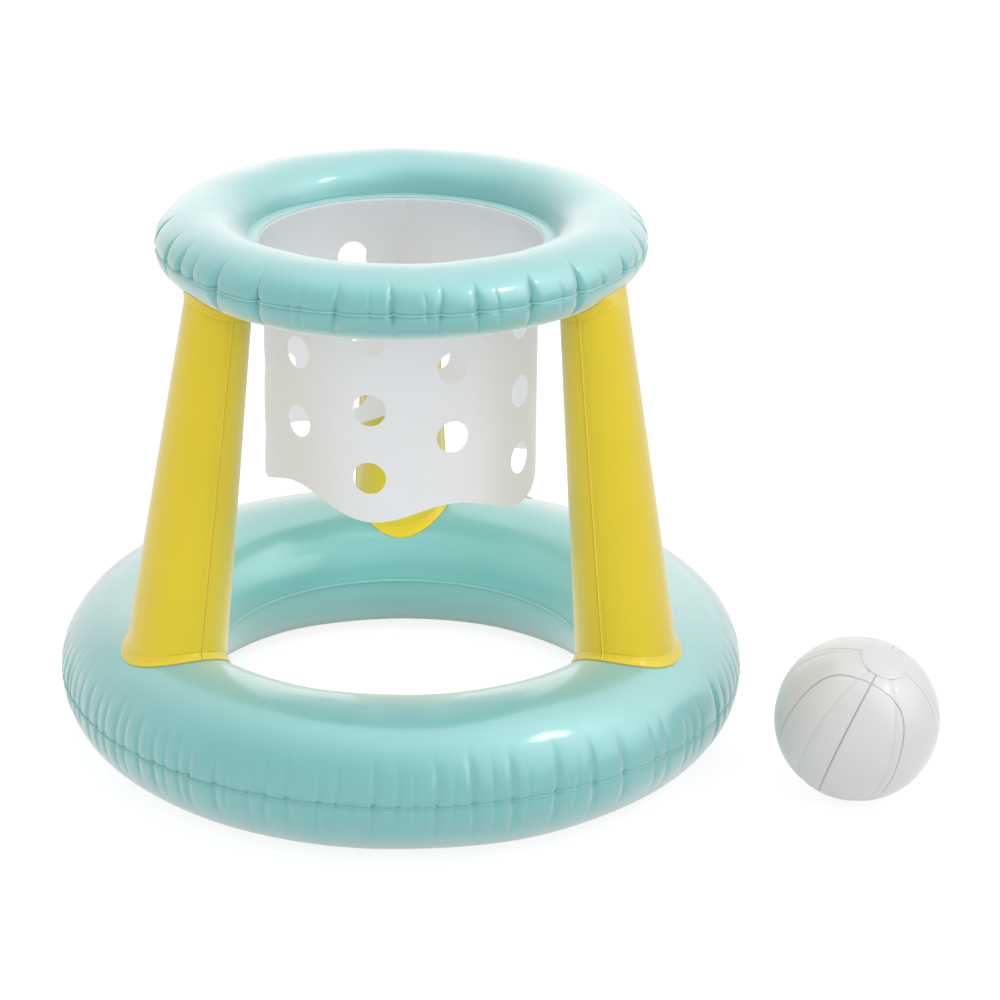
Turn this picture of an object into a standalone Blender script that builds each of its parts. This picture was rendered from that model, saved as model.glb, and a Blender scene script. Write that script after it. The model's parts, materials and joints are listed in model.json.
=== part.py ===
"""Inflatable floating basketball hoop with its ball, in metres, +Z up.

The toy is welded from flat vinyl film: two annular sheets for each ring, two panels for each leg,
a punched sheet for the net and six gores for the ball. The origin is the point where the hoop's
axis meets the surface that it stands on. The left, right and back legs stand at 210, 330 and 90
degrees round that axis, and the front of the hoop faces -Y.
"""

import math

import bmesh
import bpy
from mathutils import Matrix, Vector

# Film and welds, shared by every inflated piece
FILM = 0.0004
GAP = 0.0003
FLOOR_FLAT = 0.0005
CUT_OVERRUN = 0.006

# Base ring, which floats the toy
BASE_OUTER_DIAMETER = 0.670
BASE_TUBE_WIDTH = 0.146
BASE_TUBE_HEIGHT = 0.140
BASE_OUTER_LIP = 0.003
BASE_INNER_LIP = 0.004
BASE_PUCKER = 0.0018
BASE_STEPS = 48
BASE_VALVE_AZIMUTH = math.radians(60)

# Top ring, which is the goal's rim
TOP_OUTER_DIAMETER = 0.469
TOP_TUBE_WIDTH = 0.0825
TOP_TUBE_HEIGHT = 0.067
TOP_SEAM_HEIGHT = 0.500
TOP_OUTER_LIP = 0.003
TOP_INNER_LIP = 0.013
TOP_PUCKER = 0.0032
TOP_STEPS = 36
TOP_VALVE_AZIMUTH = math.radians(115)

# Both rings: facets round half a tube, and where on it the puckers fade and the valve sits
TUBE_ROWS = 8
PUCKER_FADE_ANGLE = math.radians(45)
VALVE_ROW = 2

# Legs: their axes lean in from the base ring's crest to the top ring's underside
LEG_AZIMUTHS = {"left": math.radians(210), "right": math.radians(330), "back": math.radians(90)}
LEG_FOOT_DIAMETER = 0.096
LEG_HEAD_DIAMETER = 0.064
LEG_FOOT_INSET = 0.0113
LEG_HEAD_OUTSET = 0.0095
LEG_FOOT_LIP = 0.0048
LEG_HEAD_LIP = 0.0035
LEG_SIDE_LIP = 0.0022
LEG_SIDES = 20
AIR_PORT_DIAMETER = 0.024
AIR_PORT_SIDES = 12

# Net: a strip of film rolled into a tube, with five long tips and five short notches at its hem
NET_WELD_WIDTH = 0.009
NET_BEND = 0.006
NET_LENGTH = 0.2275
NET_WAVE = 0.012
NET_FLUTE = 0.002
NET_WAVES = 5
NET_COLUMNS = 40
NET_TIP_AZIMUTH = math.radians(257)
NET_HOLE_DIAMETER = 0.031
NET_HOLE_PITCH = 0.0675
NET_TIP_FIRST_HOLE = 0.060
NET_TIP_HOLES = 3
NET_NOTCH_FIRST_HOLE = 0.0845
NET_NOTCH_HOLES = 2
NET_HOLE_SIDES = 12

# Ball, which lies to the right of the hoop with its seams' pole leaning towards the front
BALL_DIAMETER = 0.1557
BALL_X = 0.430
BALL_Y = -0.166
BALL_POLE = Vector((0.250, -0.294, 0.922))
BALL_SPIN = math.radians(5)
BALL_GORES = 6
GORE_STRIPS = 4
BALL_BANDS = 7
BALL_DISC_DIAMETER = 0.046
BALL_DISC_OVERLAP = 0.0095
BALL_VALVE_GORE = 0
BALL_VALVE_STRIP = 2

# Inflation valves: a welded flange with a collar, a stem that pushes in, a plug on a strap, a flap
VALVE_FLANGE_DIAMETER = 0.024
VALVE_FLANGE_THICKNESS = 0.0008
VALVE_STEM_DIAMETER = 0.0104
VALVE_BORE_DIAMETER = 0.0068
VALVE_COLLAR_WALL = 0.001
VALVE_COLLAR_DEPTH = 0.0045
VALVE_STEM_PROUD = 0.0025
VALVE_STEM_RIM = 0.0011
VALVE_RIM_THICKNESS = 0.001
VALVE_TRAVEL = 0.008
VALVE_STOP_CLEARANCE = 0.0005
VALVE_HEAD_DIAMETER = 0.0112
VALVE_HEAD_THICKNESS = 0.0016
VALVE_HEAD_CHAMFER = 0.0007
VALVE_PLUG_DEPTH = 0.005
VALVE_PLUG_TIP_DIAMETER = 0.004
VALVE_STRAP_REACH = 0.0077
VALVE_STRAP_WIDTH = 0.0036
VALVE_STRAP_THICKNESS = 0.0008
VALVE_STRAP_BITE = 0.0008
VALVE_TAB_LENGTH = 0.0026
VALVE_LUG_THICKNESS = 0.001
VALVE_FLAP_DIAMETER = 0.0094
VALVE_FLAP_THICKNESS = 0.0005
VALVE_SIDES = 12

# Finishes: colour and roughness
AQUA = ("aqua_vinyl", (0.27, 0.62, 0.60), 0.25)
YELLOW = ("yellow_vinyl", (0.80, 0.62, 0.05), 0.28)
NET_WHITE = ("white_net_vinyl", (0.78, 0.78, 0.77), 0.45)
BALL_WHITE = ("white_ball_vinyl", (0.80, 0.80, 0.80), 0.25)
VALVE_CLEAR = ("clear_valve_vinyl", (0.72, 0.80, 0.82), 0.30)


def clear_scene():
    for found in list(bpy.data.objects):
        bpy.data.objects.remove(found)


def finish_of(finish):
    """The Principled material of a finish, made once."""
    name, colour, roughness = finish
    made = bpy.data.materials.get(name)
    if made:
        return made
    made = bpy.data.materials.new(name)
    made.use_nodes = True
    shader = made.node_tree.nodes["Principled BSDF"]
    shader.inputs["Base Color"].default_value = (*colour, 1.0)
    shader.inputs["Roughness"].default_value = roughness
    shader.inputs["Metallic"].default_value = 0.0
    return made


def new_object(name, mesh_builder):
    """An object from a bmesh, with its faces turned outwards."""
    bmesh.ops.recalc_face_normals(mesh_builder, faces=mesh_builder.faces)
    mesh = bpy.data.meshes.new(name)
    mesh_builder.to_mesh(mesh)
    mesh_builder.free()
    made = bpy.data.objects.new(name, mesh)
    bpy.context.scene.collection.objects.link(made)
    return made


def dress(made, finish, smooth_angle=math.radians(35)):
    """Gives a finished piece its material and shades its round faces smooth."""
    made.data.materials.clear()
    made.data.materials.append(finish_of(finish))
    made.data.shade_smooth()
    made.data.set_sharp_from_angle(angle=smooth_angle)
    return made


def rebase(made, matrix):
    """Moves an object's origin to a frame without moving its shape."""
    made.data.transform(matrix.inverted())
    made.matrix_world = matrix


def empty_at(name, matrix, parent=None):
    made = bpy.data.objects.new(name, None)
    bpy.context.scene.collection.objects.link(made)
    made.empty_display_size = VALVE_FLANGE_DIAMETER
    made.matrix_world = matrix
    if parent:
        adopt(made, parent)
    return made


def adopt(child, parent):
    """Parents without moving: the child keeps its place in the world."""
    bpy.context.view_layer.update()
    world = child.matrix_world.copy()
    child.parent = parent
    child.matrix_parent_inverse = parent.matrix_world.inverted()
    child.matrix_world = world
    bpy.context.view_layer.update()


def boolean(target, other, operation, keep_other=False):
    """Cuts, joins or intersects target with other, and throws other away unless it is needed again."""
    modifier = target.modifiers.new(operation, "BOOLEAN")
    modifier.operation = operation
    modifier.solver = "EXACT"
    modifier.object = other
    bpy.context.view_layer.update()
    graph = bpy.context.evaluated_depsgraph_get()
    result = bpy.data.meshes.new_from_object(target.evaluated_get(graph))
    target.modifiers.clear()
    target.data = result
    if not keep_other:
        bpy.data.objects.remove(other)
    return target


def spun(name, outline, steps, closed=True):
    """Points of (radius, height), spun once round Z: a closed outline, or one with both ends on Z."""
    builder = bmesh.new()
    corners = [builder.verts.new((radius, 0, height)) for radius, height in outline]
    pairs = list(zip(corners, corners[1:]))
    if closed:
        pairs.append((corners[-1], corners[0]))
    edges = [builder.edges.new(pair) for pair in pairs]
    bmesh.ops.spin(
        builder,
        geom=corners + edges,
        axis=(0, 0, 1),
        cent=(0, 0, 0),
        steps=steps,
        angle=2 * math.pi,
        use_merge=True,
    )
    bmesh.ops.remove_doubles(builder, verts=builder.verts, dist=GAP / 10)
    return new_object(name, builder)


def frustum(name, low_centre, low_radius, high_centre, high_radius, sides):
    """A solid between two horizontal circles."""
    builder = bmesh.new()
    rims = []
    for centre, radius in ((low_centre, low_radius), (high_centre, high_radius)):
        rims.append(
            [
                builder.verts.new(
                    (
                        centre[0] + radius * math.cos(2 * math.pi * i / sides),
                        centre[1] + radius * math.sin(2 * math.pi * i / sides),
                        centre[2],
                    )
                )
                for i in range(sides)
            ]
        )
    for rim in rims:
        builder.faces.new(rim)
    for i in range(sides):
        j = (i + 1) % sides
        builder.faces.new((rims[0][i], rims[0][j], rims[1][j], rims[1][i]))
    return new_object(name, builder)


def hexahedron(name, low_corners, high_corners):
    """A solid between a lower and an upper quadrilateral."""
    builder = bmesh.new()
    low = [builder.verts.new(corner) for corner in low_corners]
    high = [builder.verts.new(corner) for corner in high_corners]
    builder.faces.new(low)
    builder.faces.new(high)
    for i in range(4):
        j = (i + 1) % 4
        builder.faces.new((low[i], low[j], high[j], high[i]))
    return new_object(name, builder)


def slab(name, x_range, y_range, z_range):
    """An upright rectangular block."""
    (x0, x1), (y0, y1) = x_range, y_range
    corners = ((x0, y0), (x1, y0), (x1, y1), (x0, y1))
    return hexahedron(
        name,
        [(x, y, z_range[0]) for x, y in corners],
        [(x, y, z_range[1]) for x, y in corners],
    )


class Ring:
    """One inflated ring: two annular sheets, welded along an outer and an inner lip."""

    def __init__(self, name, outer_diameter, width, height, seam_height, lips, pucker, steps):
        self.name = name
        self.outer_lip, self.inner_lip = lips
        self.half_width = width / 2
        self.half_height = height / 2
        self.seam_height = seam_height
        self.radius = outer_diameter / 2 - self.outer_lip - self.half_width
        self.pucker = pucker
        self.steps = steps

    def inner_edge(self):
        return self.radius - self.half_width - self.inner_lip

    def tube_point(self, angle, grow):
        """A point of the tube's oval section, moved out along its normal, above the seam plane."""
        across, up = math.cos(angle), math.sin(angle)
        normal = Vector((across / self.half_width, up / self.half_height)).normalized()
        return Vector((self.radius + self.half_width * across, self.half_height * up)) + grow * normal

    def row_angles(self, flat=0.0):
        """The angles of the rows over half a tube. A flat depth splits the crest row in two."""
        rows = [math.pi * k / TUBE_ROWS for k in range(1, TUBE_ROWS)]
        if not flat:
            return rows
        spread = math.acos(1 - flat / self.half_height)
        middle = rows.index(math.pi / 2)
        return rows[:middle] + [math.pi / 2 - spread, math.pi / 2 + spread] + rows[middle + 1 :]

    def sheet_outline(self, flat=0.0):
        """The closed section of the upper sheet: lips and wall, one film thick."""
        low, high = GAP / 2, GAP / 2 + FILM
        tube_out, tube_in = self.radius + self.half_width, self.radius - self.half_width
        angles = self.row_angles(flat)
        outside = [self.tube_point(a, 0.0) for a in angles]
        inside = [self.tube_point(a, -FILM) for a in reversed(angles)]
        return (
            [(tube_out + self.outer_lip, low), (tube_out + self.outer_lip, high), (tube_out, high)]
            + [tuple(p) for p in outside]
            + [(tube_in, high), (self.inner_edge(), high), (self.inner_edge(), low)]
            + [(tube_in + FILM, low)]
            + [tuple(p) for p in inside]
            + [(tube_out - FILM, low)]
        )

    def core_outline(self, grow):
        """The closed section of the whole inflated ring, lips included, grown all round."""
        stack = GAP / 2 + FILM + grow
        tube_out = self.radius + self.half_width + grow
        tube_in = self.radius - self.half_width - grow
        upper = (
            [(tube_out + self.outer_lip, stack), (tube_out, stack)]
            + [tuple(self.tube_point(a, grow)) for a in self.row_angles()]
            + [(tube_in, stack), (tube_in - self.inner_lip, stack)]
        )
        return upper + [(radius, -height) for radius, height in reversed(upper)]

    def pucker_share(self, step):
        """How deep the seam is gathered at a step: every second step, unevenly, alike in each third."""
        third = self.steps // 3
        if step % 2 == 0:
            return 0.0
        return 0.70 + 0.30 * math.sin(2 * math.pi * 3 * (step % third) / third + 1)

    def gather(self, made):
        """Draws the outer seam and the wall beside it in at the puckers, and creases the wall there."""
        fade = math.cos(PUCKER_FADE_ANGLE)
        builder = bmesh.new()
        builder.from_mesh(made.data)
        for vertex in builder.verts:
            x, y, z = vertex.co
            radius = math.hypot(x, y)
            across = (radius - self.radius) / self.half_width
            angle = math.atan2(abs(z) / self.half_height, across)
            weight = min(max((math.cos(angle) - fade) / (1 - fade), 0.0), 1.0)
            step = round(math.atan2(y, x) / (2 * math.pi) * self.steps) % self.steps
            drawn = (radius - self.pucker * self.pucker_share(step) * weight) / radius
            vertex.co = (x * drawn, y * drawn, z)
        bmesh.ops.triangulate(builder, faces=builder.faces, quad_method="SHORT_EDGE")
        builder.to_mesh(made.data)
        builder.free()

    def sheet(self, upper, flat=0.0):
        side = "upper" if upper else "lower"
        outline = self.sheet_outline(flat)
        if not upper:
            outline = [(radius, -height) for radius, height in outline]
        made = spun(f"{self.name}_{side}_sheet", outline, self.steps)
        self.gather(made)
        made.location.z = self.seam_height
        bpy.context.view_layer.update()
        return made

    def core(self, grow, turn=0.0):
        """The ring as one solid, turned round its axis, for cutting the pieces that lie on its film."""
        made = spun(f"{self.name}_core", self.core_outline(grow), self.steps)
        self.gather(made)
        made.location.z = self.seam_height
        made.rotation_euler.z = turn
        bpy.context.view_layer.update()
        return made

    def facet_frame(self, azimuth, below=False):
        """The frame of a valve's facet on the upper or lower sheet: Z out of the film, X round the ring."""
        side = -1 if below else 1
        step = int(azimuth / (2 * math.pi) * self.steps)
        turn = 2 * math.pi * (step + 0.5) / self.steps
        shorter = math.cos(math.pi / self.steps)
        low = self.tube_point(math.pi * VALVE_ROW / TUBE_ROWS, 0.0)
        high = self.tube_point(math.pi * (VALVE_ROW + 1) / TUBE_ROWS, 0.0)
        radial = Vector((math.cos(turn), math.sin(turn), 0))
        round_ring = Vector((-math.sin(turn), math.cos(turn), 0))
        rise = ((high.x - low.x) * shorter * radial + Vector((0, 0, side * (high.y - low.y)))).normalized()
        middle = (low + high) / 2
        place = middle.x * shorter * radial + Vector((0, 0, self.seam_height + side * middle.y))
        return frame_matrix(place, round_ring, side * round_ring.cross(rise))


def frame_matrix(place, x_axis, z_axis):
    """A frame with its origin at place, its Z along z_axis and its X along x_axis."""
    z = z_axis.normalized()
    y = z.cross(x_axis).normalized()
    x = y.cross(z)
    return Matrix(
        (
            (x.x, y.x, z.x, place.x),
            (x.y, y.y, z.y, place.y),
            (x.z, y.z, z.z, place.z),
            (0, 0, 0, 1),
        )
    )


def base_ring():
    return Ring(
        "base_ring",
        BASE_OUTER_DIAMETER,
        BASE_TUBE_WIDTH,
        BASE_TUBE_HEIGHT,
        BASE_TUBE_HEIGHT / 2 - FLOOR_FLAT,
        (BASE_OUTER_LIP, BASE_INNER_LIP),
        BASE_PUCKER,
        BASE_STEPS,
    )


def top_ring():
    return Ring(
        "top_ring",
        TOP_OUTER_DIAMETER,
        TOP_TUBE_WIDTH,
        TOP_TUBE_HEIGHT,
        TOP_SEAM_HEIGHT,
        (TOP_OUTER_LIP, TOP_INNER_LIP),
        TOP_PUCKER,
        TOP_STEPS,
    )


class LegLine:
    """The straight taper of a leg that stands at azimuth 0."""

    def __init__(self, base, top):
        self.foot_height = base.seam_height + base.half_height
        self.head_height = top.seam_height - top.half_height
        self.foot_radial = base.radius - LEG_FOOT_INSET
        self.head_radial = top.radius + LEG_HEAD_OUTSET
        self.low, self.high = base.seam_height, top.seam_height

    def share(self, height):
        return (height - self.foot_height) / (self.head_height - self.foot_height)

    def radial(self, height):
        return self.foot_radial + (self.head_radial - self.foot_radial) * self.share(height)

    def radius(self, height):
        return (LEG_FOOT_DIAMETER + (LEG_HEAD_DIAMETER - LEG_FOOT_DIAMETER) * self.share(height)) / 2

    def solid(self, name, grow):
        """The leg's outer shape from seam plane to seam plane, grown sideways."""
        return frustum(
            name,
            (self.radial(self.low), 0, self.low),
            self.radius(self.low) + grow,
            (self.radial(self.high), 0, self.high),
            self.radius(self.high) + grow,
            LEG_SIDES,
        )

    def wedge(self, name, near, far, beyond):
        """A block along the leg between two offsets from its axis, out past the tube by beyond."""
        ends = []
        for height in (self.low, self.high):
            reach = self.radius(height) + beyond
            x0, x1 = self.radial(height) + near, self.radial(height) + far
            ends.append([(x0, -reach, height), (x1, -reach, height), (x1, reach, height), (x0, reach, height)])
        return hexahedron(name, *ends)


def make_leg_panels(line, base, top):
    """The outer and inner panel of the back leg, turned to azimuth 0, with the lips that weld them."""
    turn = -LEG_AZIMUTHS["back"]
    leg = line.solid("leg", 0.0)
    boolean(leg, line.wedge("side_seam", -GAP / 2 - FILM, GAP / 2 + FILM, LEG_SIDE_LIP), "UNION")
    for ring, lip in ((base, LEG_FOOT_LIP), (top, LEG_HEAD_LIP)):
        patch = line.solid("lip", lip)
        boolean(patch, ring.core(GAP + FILM, turn), "INTERSECT")
        boolean(leg, patch, "UNION")
    boolean(leg, line.solid("inside", -FILM), "DIFFERENCE")
    for ring in (base, top):
        boolean(leg, ring.core(GAP, turn), "DIFFERENCE")
    side = LEG_FOOT_DIAMETER + LEG_FOOT_LIP
    inner = leg.copy()
    inner.data = leg.data.copy()
    bpy.context.scene.collection.objects.link(inner)
    boolean(leg, line.wedge("inward_half", -side, GAP / 2, side), "DIFFERENCE")
    boolean(inner, line.wedge("outward_half", -GAP / 2, side, side), "DIFFERENCE")
    return leg, inner


def make_legs(base, top):
    line = LegLine(base, top)
    outer, inner = make_leg_panels(line, base, top)
    for panel, side in ((outer, "outer"), (inner, "inner")):
        dress(panel, YELLOW)
        for place, azimuth in LEG_AZIMUTHS.items():
            copy = bpy.data.objects.new(f"leg_{place}_{side}_panel", panel.data)
            bpy.context.scene.collection.objects.link(copy)
            copy.matrix_world = Matrix.Rotation(azimuth, 4, "Z")
        bpy.data.objects.remove(panel)


def make_base_ring(base):
    upper = base.sheet(True)
    lower = base.sheet(False, FLOOR_FLAT)
    boolean(upper, valve_hole(base.facet_frame(BASE_VALVE_AZIMUTH)), "DIFFERENCE")
    dress(upper, AQUA)
    dress(lower, AQUA)


def top_valve_frame(top):
    """The top ring's valve is in its lower sheet, behind, beside the back leg."""
    return top.facet_frame(TOP_VALVE_AZIMUTH, below=True)


def make_top_ring(base, top):
    """The top ring's sheets. Air ports in the lower one feed the three legs from its chamber."""
    upper = top.sheet(True)
    lower = top.sheet(False)
    boolean(lower, valve_hole(top_valve_frame(top)), "DIFFERENCE")
    line = LegLine(base, top)
    radial = line.radial(line.head_height)
    for azimuth in LEG_AZIMUTHS.values():
        centre = Vector((radial * math.cos(azimuth), radial * math.sin(azimuth), 0))
        port = frustum(
            "air_port",
            centre + Vector((0, 0, line.head_height - CUT_OVERRUN)),
            AIR_PORT_DIAMETER / 2,
            centre + Vector((0, 0, top.seam_height - CUT_OVERRUN)),
            AIR_PORT_DIAMETER / 2,
            AIR_PORT_SIDES,
        )
        boolean(lower, port, "DIFFERENCE")
    dress(upper, AQUA)
    dress(lower, AQUA)


def net_profile(top):
    """Rows of the net from its weld to just above its hem: radius, drop below the weld and normal."""
    edge = top.inner_edge()
    wall = edge - NET_BEND
    down, out = Vector((0, -1)), Vector((1, 0))
    rows = [(edge + NET_WELD_WIDTH, 0.0, down), (wall + NET_BEND, 0.0, down)]
    for share in (1 / 3, 2 / 3):
        bend = math.pi / 2 * (1 + share)
        centre = Vector((wall + NET_BEND, -NET_BEND))
        spoke = Vector((math.cos(bend), math.sin(bend)))
        place = centre + NET_BEND * spoke
        rows.append((place.x, -place.y, -spoke))
    rows.append((wall, NET_BEND, out))
    return rows


def make_net(top):
    """The net's sheet: spun rows closed into a thin wall, then punched."""
    weld_height = top.seam_height - GAP / 2 - FILM - GAP
    rows = net_profile(top)
    wall = top.inner_edge() - NET_BEND
    builder = bmesh.new()
    columns = []
    for i in range(NET_COLUMNS):
        azimuth = NET_TIP_AZIMUTH + 2 * math.pi * i / NET_COLUMNS
        wave = math.cos(NET_WAVES * 2 * math.pi * i / NET_COLUMNS)
        hem_drop = NET_LENGTH + NET_WAVE * wave
        radial = Vector((math.cos(azimuth), math.sin(azimuth), 0))
        faces = {0.0: [], FILM: []}
        for radius, drop, normal in rows + [(wall, hem_drop, Vector((1, 0)))]:
            hung = max(drop - NET_BEND, 0.0) / NET_LENGTH
            flare = NET_FLUTE * wave * hung
            for depth, line in faces.items():
                reach = radius + flare + depth * normal.x
                height = weld_height - drop + depth * normal.y
                line.append(builder.verts.new(radial * reach + Vector((0, 0, height))))
        columns.append(faces[0.0] + list(reversed(faces[FILM])))
    count = len(columns[0])
    for i in range(NET_COLUMNS):
        here, there = columns[i], columns[(i + 1) % NET_COLUMNS]
        for j in range(count):
            k = (j + 1) % count
            builder.faces.new((here[j], there[j], there[k], here[k]))
    bmesh.ops.triangulate(builder, faces=builder.faces, quad_method="SHORT_EDGE")
    net = new_object("net", builder)
    boolean(net, net_punches(top, weld_height, wall), "DIFFERENCE")
    dress(net, NET_WHITE)


def net_punches(top, weld_height, wall):
    """The round punches of the net: three above each tip of its hem and two above each notch."""
    builder = bmesh.new()
    for column in range(2 * NET_WAVES):
        on_tip = column % 2 == 0
        azimuth = NET_TIP_AZIMUTH + math.pi * column / NET_WAVES
        first = NET_TIP_FIRST_HOLE if on_tip else NET_NOTCH_FIRST_HOLE
        count = NET_TIP_HOLES if on_tip else NET_NOTCH_HOLES
        for row in range(count):
            height = top.seam_height - first - NET_HOLE_PITCH * row
            place = Vector((wall * math.cos(azimuth), wall * math.sin(azimuth), height))
            outward = Vector((math.cos(azimuth), math.sin(azimuth), 0))
            bmesh.ops.create_cone(
                builder,
                cap_ends=True,
                segments=NET_HOLE_SIDES,
                radius1=NET_HOLE_DIAMETER / 2,
                radius2=NET_HOLE_DIAMETER / 2,
                depth=2 * CUT_OVERRUN,
                matrix=frame_matrix(place, Vector((0, 0, 1)), outward),
            )
    return new_object("net_punches", builder)


def valve_hole(frame):
    """The cutter for the hole in the film that a valve's collar goes through."""
    radius = VALVE_STEM_DIAMETER / 2 + GAP + VALVE_COLLAR_WALL + GAP
    hole = frustum("valve_hole", (0, 0, -CUT_OVERRUN), radius, (0, 0, CUT_OVERRUN), radius, VALVE_SIDES)
    hole.matrix_world = frame
    bpy.context.view_layer.update()
    return hole


def make_flange(name, frame, core_of):
    """The valve's welded flange, which follows the film, and the collar that guides its stem."""
    disc = VALVE_FLANGE_DIAMETER / 2
    flange = frustum(name, (0, 0, -CUT_OVERRUN), disc, (0, 0, CUT_OVERRUN), disc, VALVE_SIDES)
    flange.data.transform(frame)
    boolean(flange, core_of(GAP + VALVE_FLANGE_THICKNESS), "INTERSECT")
    boolean(flange, core_of(GAP), "DIFFERENCE")
    bore = VALVE_STEM_DIAMETER / 2 + GAP
    outside = bore + VALVE_COLLAR_WALL
    face = GAP + VALVE_FLANGE_THICKNESS
    collar = frustum("collar", (0, 0, -VALVE_COLLAR_DEPTH), outside, (0, 0, face), outside, VALVE_SIDES)
    collar.data.transform(frame)
    boolean(flange, collar, "UNION")
    well = frustum("well", (0, 0, -CUT_OVERRUN), bore, (0, 0, CUT_OVERRUN), bore, VALVE_SIDES)
    well.data.transform(frame)
    boolean(flange, well, "DIFFERENCE")
    rebase(flange, frame)
    return dress(flange, VALVE_CLEAR)


def stem_bottom():
    """How far below the film the pushed-in stem ends: its rim stops under the collar when pulled out."""
    return VALVE_COLLAR_DEPTH + VALVE_STOP_CLEARANCE + VALVE_TRAVEL + VALVE_RIM_THICKNESS


def make_stem(name, frame):
    """The stem: a tube with a rim at its inner end and a lug for the plug's strap at its mouth."""
    inside, outside = VALVE_BORE_DIAMETER / 2, VALVE_STEM_DIAMETER / 2
    bottom = -stem_bottom()
    shoulder = bottom + VALVE_RIM_THICKNESS
    rim = outside + VALVE_STEM_RIM
    outline = [
        (inside, bottom),
        (inside, VALVE_STEM_PROUD),
        (outside, VALVE_STEM_PROUD),
        (outside, shoulder),
        (rim, shoulder),
        (rim, bottom),
    ]
    stem = spun(name, outline, VALVE_SIDES)
    lug = slab(
        "lug",
        (-VALVE_STRAP_REACH + GAP, -outside + VALVE_STRAP_BITE),
        (-VALVE_STRAP_WIDTH / 2, VALVE_STRAP_WIDTH / 2),
        (VALVE_STEM_PROUD - VALVE_LUG_THICKNESS, VALVE_STEM_PROUD),
    )
    boolean(stem, lug, "UNION")
    stem.matrix_world = frame
    return dress(stem, VALVE_CLEAR)


def plug_hinge(frame):
    """The frame of the strap's living hinge, midway in the gap over the stem's lug."""
    return frame @ Matrix.Translation((-VALVE_STRAP_REACH, 0, VALVE_STEM_PROUD + GAP / 2))


def make_plug(name, frame):
    """The plug: a tapered stopper under a round head, with its strap and a pull tab."""
    under = GAP / 2
    face = under + VALVE_HEAD_THICKNESS
    head = VALVE_HEAD_DIAMETER / 2
    profile = [
        (0, under - VALVE_PLUG_DEPTH),
        (VALVE_PLUG_TIP_DIAMETER / 2, under - VALVE_PLUG_DEPTH),
        (VALVE_BORE_DIAMETER / 2 - GAP, under),
        (head, under),
        (head, face - VALVE_HEAD_CHAMFER),
        (head - VALVE_HEAD_CHAMFER, face),
        (0, face),
    ]
    plug = spun(name, profile, VALVE_SIDES, closed=False)
    half = VALVE_STRAP_WIDTH / 2
    strap_face = under + VALVE_STRAP_THICKNESS
    strap = slab("strap", (-VALVE_STRAP_REACH, VALVE_STRAP_BITE - head), (-half, half), (under, strap_face))
    tab = slab("tab", (head - VALVE_STRAP_BITE, head + VALVE_TAB_LENGTH), (-half, half), (under, strap_face))
    boolean(plug, strap, "UNION")
    boolean(plug, tab, "UNION")
    plug.data.transform(Matrix.Translation((VALVE_STRAP_REACH, 0, 0)))
    plug.matrix_world = plug_hinge(frame)
    return dress(plug, VALVE_CLEAR)


def flap_hinge(frame):
    """The frame of the check flap's hinge, midway in the gap under the stem."""
    return frame @ Matrix.Translation((-VALVE_FLAP_DIAMETER / 2, 0, -stem_bottom() - GAP / 2))


def make_flap(name, frame):
    """The check flap: a soft disc that the air inside holds against the stem's inner end."""
    radius = VALVE_FLAP_DIAMETER / 2
    top_face = -GAP / 2
    bottom_face = top_face - VALVE_FLAP_THICKNESS
    flap = frustum(name, (radius, 0, bottom_face), radius, (radius, 0, top_face), radius, VALVE_SIDES)
    flap.matrix_world = flap_hinge(frame)
    return dress(flap, VALVE_CLEAR)


def make_valve(prefix, frame, core_of, carrier=None):
    """A whole valve on the film at frame. The stem slides, and the plug and flap hinge on it."""
    flange = make_flange(f"{prefix}_valve_flange", frame, core_of)
    slide = empty_at(f"{prefix}_valve_push_axis", frame)
    stem = make_stem(f"{prefix}_valve_stem", frame)
    swing = empty_at(f"{prefix}_valve_plug_axis", plug_hinge(frame))
    plug = make_plug(f"{prefix}_valve_plug", frame)
    nod = empty_at(f"{prefix}_valve_flap_axis", flap_hinge(frame))
    flap = make_flap(f"{prefix}_valve_flap", frame)
    for child, parent in ((stem, slide), (swing, slide), (nod, slide), (plug, swing), (flap, nod)):
        adopt(child, parent)
    if carrier:
        adopt(flange, carrier)
        adopt(slide, carrier)


def ball_frame():
    """The ball's frame: origin at its centre, Z through the pole of its seams. It lies on an end disc."""
    pole = BALL_POLE.normalized()
    level = Vector((0, 0, 1)).cross(pole)
    centre = Vector((BALL_X, BALL_Y, BALL_DIAMETER / 2 + GAP + FILM))
    upright = frame_matrix(centre, level, pole)
    return upright @ Matrix.Rotation(BALL_SPIN, 4, "Z")


def ball_bands():
    """Polar angles of the rows of a gore, from under one end disc to under the other."""
    radius = BALL_DIAMETER / 2
    edge = BALL_DISC_DIAMETER / 2 / radius
    start = edge - BALL_DISC_OVERLAP / radius
    between = [edge + (math.pi - 2 * edge) * k / BALL_BANDS for k in range(BALL_BANDS + 1)]
    return [start] + between + [math.pi - start]


def on_ball(radius, polar, turn):
    return Vector(
        (
            radius * math.sin(polar) * math.cos(turn),
            radius * math.sin(polar) * math.sin(turn),
            radius * math.cos(polar),
        )
    )


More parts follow.
